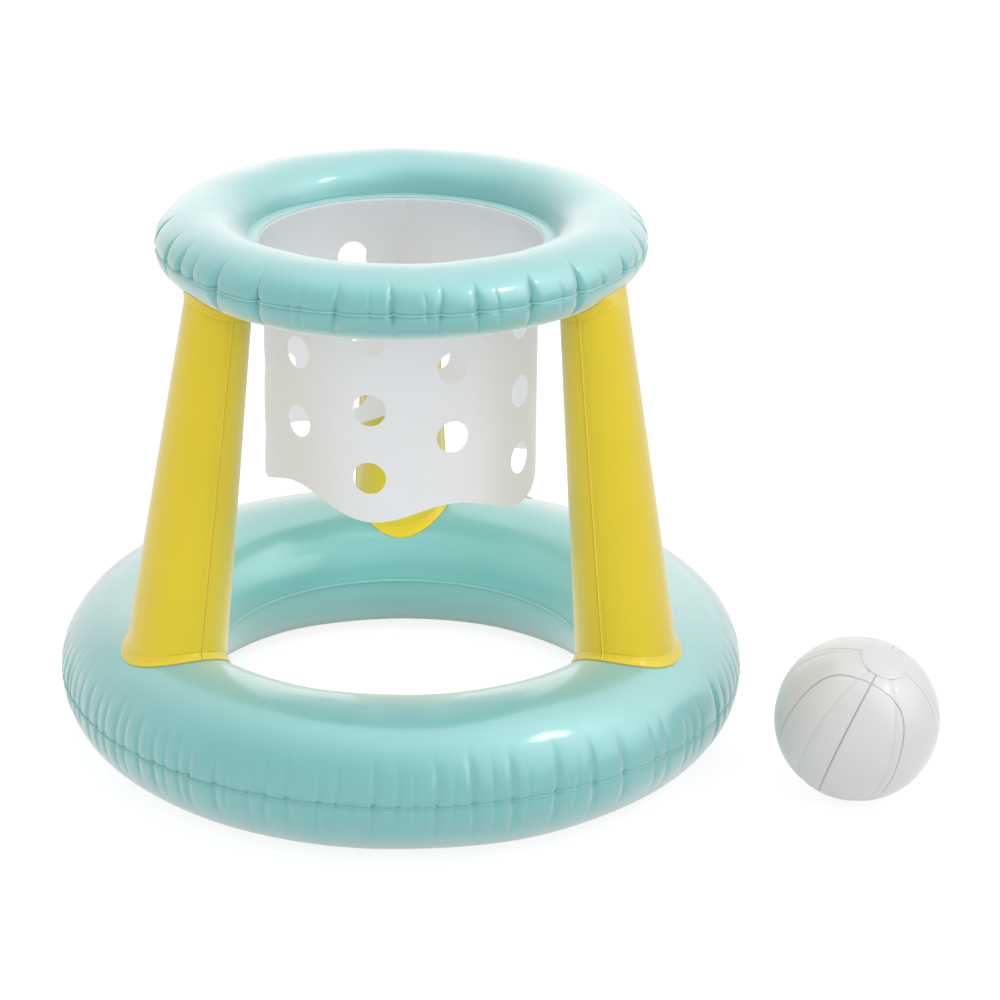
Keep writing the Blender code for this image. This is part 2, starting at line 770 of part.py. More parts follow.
def make_gore(index):
    """One of the ball's six gores, a film thick, held back from its neighbours by half a gap."""
    radius = BALL_DIAMETER / 2
    width = 2 * math.pi / BALL_GORES
    builder = bmesh.new()
    outside, inside = [], []
    for polar in ball_bands():
        inset = math.asin(GAP / 2 / (radius * math.sin(polar)))
        row_out, row_in = [], []
        for strip in range(GORE_STRIPS + 1):
            turn = width * (index + strip / GORE_STRIPS)
            if strip == 0:
                turn += inset
            if strip == GORE_STRIPS:
                turn -= inset
            row_out.append(builder.verts.new(on_ball(radius, polar, turn)))
            row_in.append(builder.verts.new(on_ball(radius - FILM, polar, turn)))
        outside.append(row_out)
        inside.append(row_in)
    for grid in (outside, inside):
        for upper, lower in zip(grid, grid[1:]):
            for a, b, c, d in zip(upper, upper[1:], lower[1:], lower):
                builder.faces.new((a, b, c, d))
    rims = [
        (outside[0], inside[0]),
        (outside[-1], inside[-1]),
        ([row[0] for row in outside], [row[0] for row in inside]),
        ([row[-1] for row in outside], [row[-1] for row in inside]),
    ]
    for out, back in rims:
        for a, b, c, d in zip(out, out[1:], back[1:], back):
            builder.faces.new((a, b, c, d))
    return new_object(f"ball_gore_{index + 1}", builder)


def ball_core(grow):
    """The ball as one solid on the gores' own facets, in the ball's frame, for the valve's flange."""
    sides = BALL_GORES * GORE_STRIPS
    radius = BALL_DIAMETER / 2 + grow
    profile = [(0, radius)]
    profile += [(radius * math.sin(polar), radius * math.cos(polar)) for polar in ball_bands()]
    profile += [(0, -radius)]
    return spun("ball_core", profile, sides, closed=False)


def make_end_disc(name, pole_sign):
    """A round patch welded over the gores' points at one pole."""
    sides = BALL_GORES * GORE_STRIPS
    radius = BALL_DIAMETER / 2 + GAP
    polars = ball_bands()[:2]
    outer = [(0, radius + FILM)] + [
        ((radius + FILM) * math.sin(polar), (radius + FILM) * math.cos(polar)) for polar in polars
    ]
    inner = [(radius * math.sin(polar), radius * math.cos(polar)) for polar in reversed(polars)]
    profile = outer + inner + [(0, radius)]
    return spun(name, [(r, pole_sign * h) for r, h in profile], sides, closed=False)


def ball_valve_frame():
    """The valve's place in the ball's frame: the middle of a facet of one gore, near the equator."""
    width = 2 * math.pi / BALL_GORES
    turn = width * (BALL_VALVE_GORE + (BALL_VALVE_STRIP + 0.5) / GORE_STRIPS)
    bands = ball_bands()
    middle = len(bands) // 2
    corners = [
        on_ball(BALL_DIAMETER / 2, polar, turn + side * width / GORE_STRIPS / 2)
        for polar in (bands[middle - 1], bands[middle])
        for side in (-1, 1)
    ]
    place = sum(corners, Vector()) / len(corners)
    round_ball = corners[1] - corners[0]
    return frame_matrix(place, round_ball, round_ball.cross(corners[0] - corners[2]))


def make_ball():
    """The ball: gores, end discs and valve, all carried by one empty at its centre."""
    frame = ball_frame()
    centre = empty_at("ball_lift_axis", Matrix.Translation(frame.to_translation()))
    pieces = [make_gore(index) for index in range(BALL_GORES)]
    valve_frame = ball_valve_frame()
    boolean(pieces[BALL_VALVE_GORE], valve_hole(valve_frame), "DIFFERENCE")
    pieces.append(make_end_disc("ball_front_disc", 1))
    pieces.append(make_end_disc("ball_rear_disc", -1))
    for piece in pieces:
        dress(piece, BALL_WHITE)
        piece.matrix_world = frame
        adopt(piece, centre)

    def placed_core(grow):
        core = ball_core(grow)
        core.data.transform(frame)
        return core

    make_valve("ball", frame @ valve_frame, placed_core, centre)


def build():
    clear_scene()
    base, top = base_ring(), top_ring()
    make_base_ring(base)
    make_top_ring(base, top)
    make_legs(base, top)
    make_net(top)
    make_valve("base", base.facet_frame(BASE_VALVE_AZIMUTH), base.core)
    make_valve("top", top_valve_frame(top), top.core)
    make_ball()


build()
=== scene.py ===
import json
import math

import bmesh
import bpy
import numpy as np
from mathutils import Matrix, Vector, geometry


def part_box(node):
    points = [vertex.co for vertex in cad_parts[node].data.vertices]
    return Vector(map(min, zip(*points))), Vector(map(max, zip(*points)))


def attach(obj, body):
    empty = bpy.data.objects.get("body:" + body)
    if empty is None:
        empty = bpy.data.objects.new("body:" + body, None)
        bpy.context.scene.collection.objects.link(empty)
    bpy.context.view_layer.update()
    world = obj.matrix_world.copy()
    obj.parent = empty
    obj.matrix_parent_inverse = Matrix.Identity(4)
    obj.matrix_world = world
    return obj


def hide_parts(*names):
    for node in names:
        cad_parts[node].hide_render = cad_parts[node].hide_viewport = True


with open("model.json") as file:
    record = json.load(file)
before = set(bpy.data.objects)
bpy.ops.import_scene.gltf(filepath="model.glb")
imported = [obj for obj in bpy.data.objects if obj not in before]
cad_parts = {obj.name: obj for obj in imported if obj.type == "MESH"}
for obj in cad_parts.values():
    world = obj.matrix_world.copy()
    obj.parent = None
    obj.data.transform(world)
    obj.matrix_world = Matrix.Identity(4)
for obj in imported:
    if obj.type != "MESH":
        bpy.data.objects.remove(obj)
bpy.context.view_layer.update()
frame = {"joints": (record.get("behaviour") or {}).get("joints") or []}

# Base ring, the float that carries the toy. Two flat rings of turquoise vinyl film are welded
# along both edges and blown up. The outer seam is shorter than the film beside it, so the film
# gathers there in upright pleats that fade out towards the crest and the underside.
FILM = 0.0004
WELD_GAP = 0.00002
WELD_STACK = WELD_GAP + FILM
SEAM_BITE = 0.004
LIP_BULGE = 0.0001
EDGE_DRAW = 0.7
INNER_FACE_FROM = 0.12
AQUA = (0.14, 0.435, 0.425)
AQUA_WELD = (0.19, 0.52, 0.50)
CLOUD, SKIN, RIPPLE = (14.0, 3.0), (900.0, 2.0), (55.0, 2.0)
RIPPLE_SPAN = (0.3, 0.7)
SKIN_DEPTH = 0.00006
COAT_ROUGHNESS = 0.12
HAZE_ROUGHNESS = 0.5
SHARP_EDGE, TURNED_SHARP_EDGE = math.radians(50), math.radians(40)
BASE_TUBE_WIDTH = 0.148
BASE_LIP = 0.001
BASE_PLEATS = (
    (197, 0.5), (200, 0.6), (202.7, 0.6), (206.9, 0.7), (210.4, 0.7), (213.2, 0.6), (216.7, 0.8),
    (219.3, 0.6), (222.9, 0.7), (226.5, 0.75), (229.1, 0.5), (232, 0.6), (234.2, 0.8), (239.2, 0.85),
    (241.4, 0.35), (245.4, 0.5), (248.1, 0.7), (251.8, 0.8), (256.9, 0.7), (259.8, 0.7), (262.4, 0.35),
    (265.6, 1.0), (269.4, 0.6), (272, 0.4), (275.4, 0.9), (278.1, 0.35), (281.1, 1.0), (284.6, 0.5),
    (287.6, 1.0), (290.3, 0.3), (295, 1.0), (298.7, 0.4), (301.9, 0.95), (307.8, 0.9), (314.8, 0.75),
    (317.8, 0.65), (323.2, 0.6), (325.2, 0.5), (327.9, 0.45), (334.3, 1.0), (337.5, 0.7), (341, 0.6),
    (344.3, 0.7),
)
BASE_REAR_PLEATS = {"span": (347, 555), "pitch": (2.9, 5.2), "strengths": (0.4, 0.6, 0.75, 0.9, 1.0)}
BASE_PLEAT_SHAPE = {"depth": 0.0028, "width": 0.0021, "rise_above": 38, "rise_below": 29}
VALVE_STRAP_REACH = 0.0077
VALVE_HINGE_HEIGHT = 0.00265
VALVE_SEAT_REACH = 0.0125
VALVE_PUFF_REACH = 0.024


def feed(tree, node, **values):
    """Sets a node's settings and inputs, the latter by name or number, or feeds them from an output."""
    for name, value in values.items():
        if hasattr(node, name):
            setattr(node, name, value)
            continue
        socket = node.inputs[int(name[1:]) if name[1:].isdigit() else name.replace("_", " ")]
        if isinstance(value, bpy.types.NodeSocket):
            tree.links.new(value, socket)
        else:
            socket.default_value = value
    return node


def link_node(tree, kind, **values):
    return feed(tree, tree.nodes.new("ShaderNode" + kind), **values)


def math_node(tree, operation, *values):
    inputs = {f"_{i}": value for i, value in enumerate(values)}
    return link_node(tree, "Math", operation=operation, **inputs).outputs[0]


def mixed_colour(tree, share, first, second):
    return link_node(tree, "Mix", data_type="RGBA", _0=share, _6=first, _7=second).outputs[2]


def film_finish(name, colour, weld_and_highlight_colour, gloss, coat, haze=0.0, ior=1.53, mottle=0.04):
    """Calendered vinyl: glossy, faintly cloudy, with a fine skin texture and a paler fused weld. On the
    yellow legs the paler weld colour is a painted highlight along the seams. Haze is the pale bloom
    of new vinyl, which shows most at a slant."""
    made = bpy.data.materials.new(name)
    made.use_nodes = True
    tree = made.node_tree
    place = link_node(tree, "TexCoord").outputs["Object"]
    cloud, skin, ripple = (
        link_node(tree, "TexNoise", Vector=place, Scale=scale, Detail=detail).outputs["Fac"]
        for scale, detail in (CLOUD, SKIN, RIPPLE)
    )
    weld = link_node(tree, "Attribute", attribute_name="weld").outputs["Fac"]
    deeper = tuple(c * (1 - mottle) for c in colour)
    lighter = tuple(min(c * (1 + mottle), 1.0) for c in colour)
    cloudy = mixed_colour(tree, cloud, (*deeper, 1), (*lighter, 1))
    fused = mixed_colour(tree, weld, cloudy, (*weld_and_highlight_colour, 1))
    low, high = RIPPLE_SPAN
    smear = link_node(tree, "MapRange", Value=ripple, _1=low, _2=high, _3=gloss[0], _4=gloss[1])
    relief = math_node(tree, "ADD", skin, math_node(tree, "MULTIPLY", ripple, 2.0))
    bump = link_node(tree, "Bump", Height=relief, Distance=SKIN_DEPTH, Strength=1.0)
    feed(
        tree, tree.nodes["Principled BSDF"], Base_Color=fused, Roughness=smear.outputs[0],
        Normal=bump.outputs[0], IOR=ior, Coat_Weight=coat, Coat_Roughness=COAT_ROUGHNESS,
        Sheen_Weight=haze, Sheen_Roughness=HAZE_ROUGHNESS,
    )
    return made


def smoothed(mesh, sharp=SHARP_EDGE):
    mesh.shade_smooth()
    mesh.set_sharp_from_angle(angle=sharp)


def placed(name, data):
    """A new object in the scene, with its mesh, light or camera."""
    thing = bpy.data.objects.new(name, data)
    bpy.context.scene.collection.objects.link(thing)
    return thing


def film_piece(name, points, faces, weld, finish, sharp=SHARP_EDGE):
    """An object from points and faces. weld is how far each point is fused to another film, 0 to 1."""
    mesh = bpy.data.meshes.new(name)
    mesh.from_pydata(np.asarray(points).reshape(-1, 3).tolist(), [], faces)
    fused = mesh.attributes.new("weld", "FLOAT", "POINT")
    fused.data.foreach_set("value", np.asarray(weld, np.float32).ravel())
    mesh.materials.append(finish)
    builder = bmesh.new()
    builder.from_mesh(mesh)
    bmesh.ops.recalc_face_normals(builder, faces=builder.faces)
    builder.to_mesh(mesh)
    builder.free()
    smoothed(mesh, sharp)
    return placed(name, mesh)


def seat(piece, body, slot, *nodes):
    """Puts a finished piece on its body, in place of the plain solids that it stands for."""
    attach(piece, body)
    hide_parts(*nodes)


def frame_of(x, y, z, origin):
    """The matrix that takes points from a frame with these axes and origin to the toy's frame."""
    return Matrix((*zip(x, y, z, origin), (0, 0, 0, 1)))


def valve_frame(place):
    """A valve's own frame: its origin on the film under the stem, Z out of the film, X off the strap."""
    joints = {joint["name"]: joint for joint in frame["joints"]}
    z = Vector(joints[f"{place}_stem_push"]["axis"]).normalized()
    y = -Vector(joints[f"{place}_plug_open"]["axis"]).normalized()
    x = y.cross(z)
    hinge = Vector(joints[f"{place}_plug_open"]["pos_m"])
    return frame_of(x, y, z, hinge + VALVE_STRAP_REACH * x - VALVE_HINGE_HEIGHT * z)


def flattened(points, spot, depth):
    """Film points drawn onto the flat seat of a valve's flange, or depth under it."""
    origin, normal = np.array(spot.translation), np.array(spot.col[2][:3])
    from_spot = points - origin
    height = from_spot @ normal
    away = np.linalg.norm(from_spot - height[..., None] * normal, axis=-1)
    pull = np.clip((VALVE_PUFF_REACH - away) / (VALVE_PUFF_REACH - VALVE_SEAT_REACH), 0, 1)
    pull = np.where(np.abs(height) < VALVE_SEAT_REACH, pull * pull * (3 - 2 * pull), 0)
    return points - ((height + depth) * pull)[..., None] * normal


class BlownRing:
    """Two welded film rings round an oval tube. Rise is the angle round the tube, from 0 at the
    outer seam to pi at the inner seam, and side is 1 for the upper film and -1 for the lower."""

    swell_height = 0.00016
    swell_waves = 9
    fillet = 0.0
    fillet_reach = 0.11
    kink_reach = 0.25
    ripple_height = 0.0
    ripple_pitch = 0.0034
    ripple_reach = 0.012
    calm_reach = (math.radians(8.5), math.radians(13))
    strong_pleat = 0.45
    weak_size, size_gain = 0.55, 0.45
    pleat_reach, pleat_fade = 11, 1.3
    shoulder_place, shoulder_width = 2.6, 1.1
    pillow_shape, pillow_held, pillow_freed, pillow_start = 0.7, 0.35, 0.65, 0.12
    lip_fused = 1.0

    def __init__(self, node, tube_width, lip, seed, **settings):
        low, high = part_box(f"{node}_upper_sheet")
        self.node = node
        self.seam_height = low.z - WELD_GAP
        self.half_height = high.z - self.seam_height
        self.half_width = tube_width / 2
        self.edge = high.x - lip
        self.radius = self.edge - self.half_width
        self.random = np.random.default_rng(seed)
        self.pleats, self.strong, self.calm = [], [], []
        draw = self.random
        self.swell = [
            (draw.integers(2, 13), draw.integers(1, 4), *draw.uniform(0, 2 * math.pi, 2))
            for _ in range(self.swell_waves)
        ]
        for name, value in settings.items():
            setattr(self, name, value)

    def add_pleat(self, azimuth, strength, depth, width, rise_above, rise_below):
        """A pleat at an azimuth in degrees, with its depth and width for a strength of 1."""
        draw = self.random.uniform
        azimuth = math.radians(azimuth) % (2 * math.pi)
        size = self.weak_size + self.size_gain * strength
        skew, lean = draw(-0.25, 0.45), draw(-0.003, 0.003)
        above = math.radians(rise_above * size + draw(-4, 4))
        below = math.radians(rise_below * size + draw(-4, 4))
        self.pleats.append((azimuth, depth * strength, width * size, skew, above, below, lean))
        if strength >= self.strong_pleat:
            self.strong.append(azimuth)

    def add_pleats(self, front, rear, shape):
        """The front pleats, each an azimuth and a strength, then loosely spaced ones over the rear."""
        pleats = list(front)
        turn, end = rear["span"]
        while turn < end:
            pleats.append((turn, self.random.choice(rear["strengths"])))
            turn += self.random.uniform(*rear["pitch"])
        for azimuth, strength in pleats:
            self.add_pleat(azimuth, strength, **shape)

    def puff(self, azimuth, rise, side, pleated=True):
        """How far the film stands out of the plain oval at each azimuth and rise, in metres."""
        turn = side * rise
        waves = (np.sin(k * azimuth + p) * np.cos(m * turn + q) for k, m, p, q in self.swell)
        out = sum(waves) * self.swell_height
        if not pleated:
            return out
        calm = self.calmness(azimuth, side)
        out = out + self.pillow(azimuth, rise) * calm + self.ripple(azimuth, rise)
        out -= self.notch * np.exp(-((rise / self.notch_reach) ** 2))
        for place, depth, width, skew, above, below, lean in self.pleats:
            far = above if side > 0 else below
            along = self.edge * ((azimuth - place + math.pi) % (2 * math.pi) - math.pi)
            near = (np.abs(along) < self.pleat_reach * width) & (rise < far)
            share = rise[near] / far
            offset = along[near] - lean * share * side
            spread = width * (1 - self.pleat_taper * share) * np.where(offset > 0, 1 + skew, 1 - skew)
            away = np.abs(offset) / spread
            fade = (1 - share**self.pleat_hold) ** self.pleat_fade
            valley = np.exp(self.pleat_round - np.sqrt(away**2 + self.pleat_round**2))
            shoulder = np.exp(-(((away - self.shoulder_place) / self.shoulder_width) ** 2))
            out[near] += depth * fade * (self.pleat_shoulder * shoulder - valley) * calm[near]
        return out

    def pillow(self, azimuth, rise):
        """The film's swell between two strong pleats. It starts at once beside each of them."""
        places = np.sort(self.strong)
        after = np.searchsorted(places, azimuth % (2 * math.pi))
        before = places[after - 1]
        gap = (places[after % len(places)] - before) % (2 * math.pi)
        share = ((azimuth - before) % (2 * math.pi)) / gap
        swell = np.minimum(self.pillow_share * gap * self.edge, self.pillow_cap)
        fade = np.cos(np.minimum(rise / self.pillow_reach, 1) * math.pi / 2) ** 2
        held = self.pillow_held + self.pillow_freed * (1 - np.exp(-((rise / self.pillow_start) ** 2)))
        return swell * (4 * share * (1 - share)) ** self.pillow_shape * fade * held

    def ripple(self, azimuth, rise):
        """Fine creases that run beside the inner weld, stronger in some places than in others."""
        arc = (math.pi - rise) * (self.half_width + self.half_height) / 2
        patchy = 0.55 + 0.45 * np.sin(3 * azimuth + 0.6) * np.sin(2 * azimuth + 2.1)
        wave = np.cos(2 * math.pi * arc / self.ripple_pitch + 1.5 * np.sin(2 * azimuth))
        return self.ripple_height * patchy * wave * np.exp(-((arc / self.ripple_reach) ** 2))

    def calmness(self, azimuth, side):
        """1 where the film may pleat, 0 on the lower film round a leg's head or a valve."""
        calm = np.ones_like(azimuth)
        full, clear = self.calm_reach
        if side < 0:
            for place in self.calm:
                away = np.abs((azimuth - place + math.pi) % (2 * math.pi) - math.pi)
                calm *= np.clip((away - full) / (clear - full), 0, 1)
        return calm

    def kink(self, azimuth):
        """The seam's height above its plane: it tilts between two pleats and steps back at each."""
        places, heights = [], []
        for k, (place, depth, width, *_) in enumerate(sorted(self.pleats)):
            lift = depth * self.kink_share * (1 if k % 4 else -1)
            places += [place - width / self.edge / 4, place + width / self.edge / 4]
            heights += [-lift / 2, lift / 2]
        return np.interp(azimuth, places, heights, period=2 * math.pi)

    def azimuths(self):
        """Azimuths of the mesh's columns: even ones, and more of them across each pleat."""
        around = list(np.arange(0, 2 * math.pi, self.column_step / self.edge))
        for place, _, width, *_ in self.pleats:
            around += [(place + width * k / self.edge) % (2 * math.pi) for k in self.pleat_columns]
        around = sorted(around)
        kept = [around[0]]
        for azimuth in around[1:]:
            if azimuth - kept[-1] > self.column_step / self.edge / 10:
                kept.append(azimuth)
        return np.array(kept)

    def film(self, azimuth, rise, side, depth=0.0):
        """Points of the film on a grid of azimuths and rises, depth inside its outer face."""
        grid, rises = np.meshgrid(azimuth, rise, indexing="ij")
        puff = self.puff(grid, rises, side) - depth
        across, up = np.cos(rises), np.sin(rises)
        slope = np.hypot(across / self.half_width, up / self.half_height)
        radius = self.radius + self.half_width * across + puff * across / self.half_width / slope
        radius -= self.fillet * np.exp(-(((math.pi - rises) / self.fillet_reach) ** 2))
        height = WELD_STACK + (self.half_height - WELD_STACK) * up + puff * up / self.half_height / slope
        height += side * self.kink(azimuth)[:, None] * np.exp(-((rises / self.kink_reach) ** 2))
        points = self.in_place(azimuth, radius, side * height)
        if side == self.valve_side:
            points = flattened(points, self.valve_place, depth)
        return points

    def in_place(self, azimuth, radius, height):
        """Points in the toy's frame at heights over the seam."""
        return np.stack([
            radius * np.cos(azimuth)[:, None],
            radius * np.sin(azimuth)[:, None],
            np.maximum(self.seam_height + height, 0),
        ], axis=2)

    def sheet(self, side, finish):
        """One welded film as a closed shell: lip, outer face, inner lip, and a plainer inner face."""
        azimuth = self.azimuths()
        columns = len(azimuth)
        outer_rise = np.concatenate([
            np.arange(0, 0.2, 0.025), np.arange(0.2, 1.0, 0.05), np.arange(1.0, 2.45, 0.1),
            np.linspace(2.45, math.pi, self.inner_rows),
        ])
        inner_rise = np.linspace(math.pi - INNER_FACE_FROM, INNER_FACE_FROM, 12)
        kink = side * self.kink(azimuth)[:, None]
        drawn = EDGE_DRAW * self.puff(azimuth, np.zeros(columns), side)[:, None]
        lip = self.edge + self.lip_shown + drawn + EDGE_DRAW * self.notch
        flat = np.zeros((columns, 1))
        hem = flat + self.radius - self.half_width - self.inner_lip_shown

        def rows(radius, height):
            return self.in_place(azimuth, radius, side * height)

        grids = [
            rows(lip, WELD_GAP + kink),
            rows(lip + LIP_BULGE, WELD_STACK * 0.5 + kink),
            rows(lip, WELD_STACK + kink),
            self.film(azimuth, outer_rise, side),
            rows(hem + FILM / 2, flat + WELD_STACK),
            rows(hem, flat + WELD_STACK * 0.6),
            rows(hem, flat + WELD_GAP),
            rows(hem + self.inner_lip_shown + SEAM_BITE, flat + WELD_GAP),
            self.film(azimuth, inner_rise, side, 1.5 * FILM),
            rows(self.edge - SEAM_BITE + drawn, WELD_GAP + kink),
        ]
        points = np.concatenate(grids, axis=1)
        count = points.shape[1]
        weld = np.zeros((columns, count))
        weld[:, :4] = self.lip_fused
        weld[:, 3 + len(outer_rise) : 6 + len(outer_rise)] = 1
        here = np.arange(columns)[:, None] * count
        there = np.roll(here, -1, axis=0)
        row, next_row = np.arange(count)[None, :], np.roll(np.arange(count), -1)[None, :]
        faces = np.stack([here + row, there + row, there + next_row, here + next_row], axis=2)
        name = f"{self.node}_{'upper' if side > 0 else 'lower'}_film"
        return film_piece(name, points, faces.reshape(-1, 4).tolist(), weld, finish)

    def clearance(self, x, y, z):
        """How far points lie from the ring's film, measured square to it, away from its pleats."""
        azimuth, radius = np.arctan2(y, x), np.hypot(x, y)
        across = (radius - self.radius) / self.half_width
        up = (z - self.seam_height) / self.half_height
        rise = np.arctan2(np.abs(up), across)
        side = 1 if np.mean(up) > 0 else -1
        reach = np.hypot(self.half_width * np.cos(rise), self.half_height * np.sin(rise))
        return (np.hypot(across, up) - 1) * reach - self.puff(azimuth, rise, side, pleated=False)


base_ring = BlownRing(
    "base_ring", BASE_TUBE_WIDTH, BASE_LIP, seed=4,
    lip_shown=0.0007, lip_fused=0.0, inner_lip_shown=0.0028, notch=0.0008, notch_reach=0.03,
    pleat_taper=-0.25, pleat_hold=1.7, pleat_round=0.9, pleat_shoulder=0.22, kink_share=0.6,
    pillow_share=0.035, pillow_cap=0.0009, pillow_reach=math.radians(58),
    column_step=0.0045, inner_rows=8, pleat_columns=(-2.8, -1.6, -0.8, -0.25, 0.25, 0.8, 1.6, 2.8),
    valve_side=1, valve_place=valve_frame("base"),
)
base_ring.add_pleats(BASE_PLEATS, BASE_REAR_PLEATS, BASE_PLEAT_SHAPE)
aqua_vinyl = film_finish(
    "aqua_vinyl", AQUA, AQUA_WELD, gloss=(0.36, 0.46), coat=0.7, haze=0.85, ior=1.65,
)
base_upper = base_ring.sheet(1, aqua_vinyl)
base_lower = base_ring.sheet(-1, aqua_vinyl)
seat(base_upper, "hoop", "aqua_vinyl", "base_ring_upper_sheet")
seat(base_lower, "hoop", "aqua_vinyl", "base_ring_lower_sheet")

# Top ring, the goal's rim, made like the base ring from narrower film. Its welded inner edge is a
# broad flat band that also holds the net, and its tight outer seam draws the film into deep darts.
TOP_TUBE_WIDTH = 0.0825
TOP_LIP = 0.003
TOP_INNER_LIP = 0.013
LEG_AZIMUTHS = {"left": math.radians(210), "right": math.radians(330), "back": math.radians(90)}
TOP_VALVE_AZIMUTH = math.radians(115)
FRONT_DARTS = (
    (200, 0.8), (208.7, 0.9), (214.4, 0.45), (223.2, 1.0), (235.9, 1.0), (244.5, 0.3), (247, 0.35),
    (255.1, 0.75), (263, 0.3), (268, 0.85), (275.6, 0.35), (278.8, 0.55), (287.2, 0.8), (292, 0.25),
    (300.5, 1.0), (308.5, 0.25), (314.2, 1.0), (322.1, 0.4), (332.4, 0.8), (339, 0.35),
)
REAR_DARTS = {"span": (346, 552), "pitch": (5, 12), "strengths": (0.3, 0.45, 0.8, 1.0)}
DART_SHAPE = {"depth": 0.0072, "width": 0.0034, "rise_above": 60, "rise_below": 52}

top_ring = BlownRing(
    "top_ring", TOP_TUBE_WIDTH, TOP_LIP, seed=11,
    lip_shown=0.0012, inner_lip_shown=TOP_INNER_LIP, notch=0.0007, notch_reach=0.05, fillet=0.0009,
    pleat_taper=0.78, pleat_hold=0.95, pleat_round=0.15, pleat_shoulder=0.10, kink_share=0.10,
    pillow_share=0.05, pillow_cap=0.0015, pillow_reach=math.radians(75), ripple_height=0.00022,
    column_step=0.0036, inner_rows=19,
    pleat_columns=(-3.2, -1.9, -1.1, -0.6, -0.3, -0.1, 0.1, 0.3, 0.6, 1.1, 1.9, 3.2),
    calm=[*LEG_AZIMUTHS.values(), TOP_VALVE_AZIMUTH],
    valve_side=-1, valve_place=valve_frame("top"),
)
top_ring.add_pleats(FRONT_DARTS, REAR_DARTS, DART_SHAPE)
top_upper = top_ring.sheet(1, aqua_vinyl)
top_lower = top_ring.sheet(-1, aqua_vinyl)
seat(top_upper, "hoop", "aqua_vinyl", "top_ring_upper_sheet")
seat(top_lower, "hoop", "aqua_vinyl", "top_ring_lower_sheet")

# Legs: three leaning tubes of yellow film, each from an outer and an inner panel welded along two
# side seams. The foot is turned out in a rounded hem that is welded to the base ring's crest, and
# the head has a plainer hem under the top ring. Each hem is (gap to the ring, distance out) by height.
YELLOW = (0.70, 0.53, 0.006)
# The weld colour is lighter than the film: a painted highlight along the legs' side seams, and at a share
# on the foot hem.
YELLOW_WELD_HIGHLIGHT = (0.80, 0.62, 0.02)
LEG_FOOT_INSET = 0.0123
LEG_HEAD_OUTSET = 0.0095
LEG_SHIFTS = {"left": (-0.0025, -0.005), "right": (-0.002, 0.005), "back": (0.0015, 0.0)}
LEG_HEAD_TUCK = 0.005
LEG_HEAD_TURN_IN = 0.016
LEG_HEAD_SOFTNESS = 0.001
LEG_FOOT_RADIUS = 0.048
LEG_HEAD_RADIUS = 0.032
FOOT_HEM = (
    (0.0003, 0.0038), (0.0007, 0.0044), (0.0014, 0.0045), (0.0021, 0.0040), (0.0027, 0.0032),
    (0.0035, 0.0021), (0.0045, 0.0012), (0.0055, 0.0005), (0.0062, 0.0001), (0.0066, -0.0004),
    (0.0071, 0.0001), (0.0088, 0.0002), (0.0120, 0.0),
)
HEAD_HEM = (
    (0.0003, 0.0016), (0.0010, 0.0020), (0.0022, 0.0014), (0.0040, 0.0006), (0.0066, 0.0003),
    (0.0077, 0.0001), (0.0082, -0.0004), (0.0088, 0.0), (0.0110, 0.0),
)
SIDE_SEAM = (
    (0.00015, 0.0009), (0.0003, 0.0007), (0.0005, 0.0001), (0.0009, -0.0004), (0.0017, -0.0005),
    (0.0030, -0.0003), (0.0048, -0.0001), (0.0075, 0.0),
)
SIDE_SEAM_TUCK = 0.0012
# How much of the lighter weld colour, a painted highlight, the foot hem takes.
HEM_WELD_AND_HIGHLIGHT = 0.35
HALVINGS = 30
LEG_ROWS = 24
LEG_COLUMNS = 30

foot_height = base_ring.seam_height + base_ring.half_height
head_height = top_ring.seam_height - top_ring.half_height


def leg_place(turn, height, outset, leg):
    """Points of a leg's tube at angles round its axis. Its head is drawn in under the top ring's edge."""
    share = (height - foot_height) / (head_height - foot_height)
    azimuth, (foot_shift, head_shift) = LEG_AZIMUTHS[leg], LEG_SHIFTS[leg]
    foot = base_ring.radius - LEG_FOOT_INSET + foot_shift
    head = top_ring.radius + LEG_HEAD_OUTSET + head_shift
    radius = LEG_FOOT_RADIUS + (LEG_HEAD_RADIUS - LEG_FOOT_RADIUS) * share
    wall = foot + (head - foot) * share + radius * np.cos(turn)
    reach = top_ring.edge - LEG_HEAD_TUCK + top_ring.seam_height - LEG_HEAD_TURN_IN - height
    wall = wall - LEG_HEAD_SOFTNESS * np.logaddexp(0, (wall - reach) / LEG_HEAD_SOFTNESS)
    out = wall + outset * np.cos(turn)
    along = (radius + outset) * np.sin(turn)
    return np.stack([
        out * math.cos(azimuth) - along * math.sin(azimuth),
        out * math.sin(azimuth) + along * math.cos(azimuth),
        height + 0 * turn,
    ], axis=-1)


def height_off_ring(ring, side, turn, gap, outset, leg):
    """The height at which the leg's wall, moved out by outset, is gap away from a ring's film."""
    near = np.full_like(turn, ring.seam_height + side * 0.35 * ring.half_height)
    far = np.full_like(turn, (foot_height + head_height) / 2)
    for _ in range(HALVINGS):
        middle = (near + far) / 2
        place = leg_place(turn, middle, outset, leg)
        inside = ring.clearance(place[..., 0], place[..., 1], place[..., 2]) < gap
        near, far = np.where(inside, middle, near), np.where(inside, far, middle)
    return (near + far) / 2


def shell(name, outer, inner, weld, finish):
    """A closed piece of film between an outer and an inner grid of points."""
    rows, columns = outer.shape[:2]
    count = rows * columns
    grid = np.arange(count).reshape(rows, columns)
    quads = np.stack([grid[:-1, :-1], grid[:-1, 1:], grid[1:, 1:], grid[1:, :-1]], axis=2).reshape(-1, 4)
    rim = np.concatenate([grid[0, :], grid[1:, -1], grid[-1, -2::-1], grid[-2:0:-1, 0]])
    ahead = np.roll(rim, -1)
    walls = np.stack([rim, rim + count, ahead + count, ahead], axis=1)
    faces = np.concatenate([quads, quads[:, ::-1] + count, walls]).tolist()
    points = np.concatenate([outer.reshape(-1, 3), inner.reshape(-1, 3)])
    return film_piece(name, points, faces, np.tile(weld.ravel(), 2), finish)


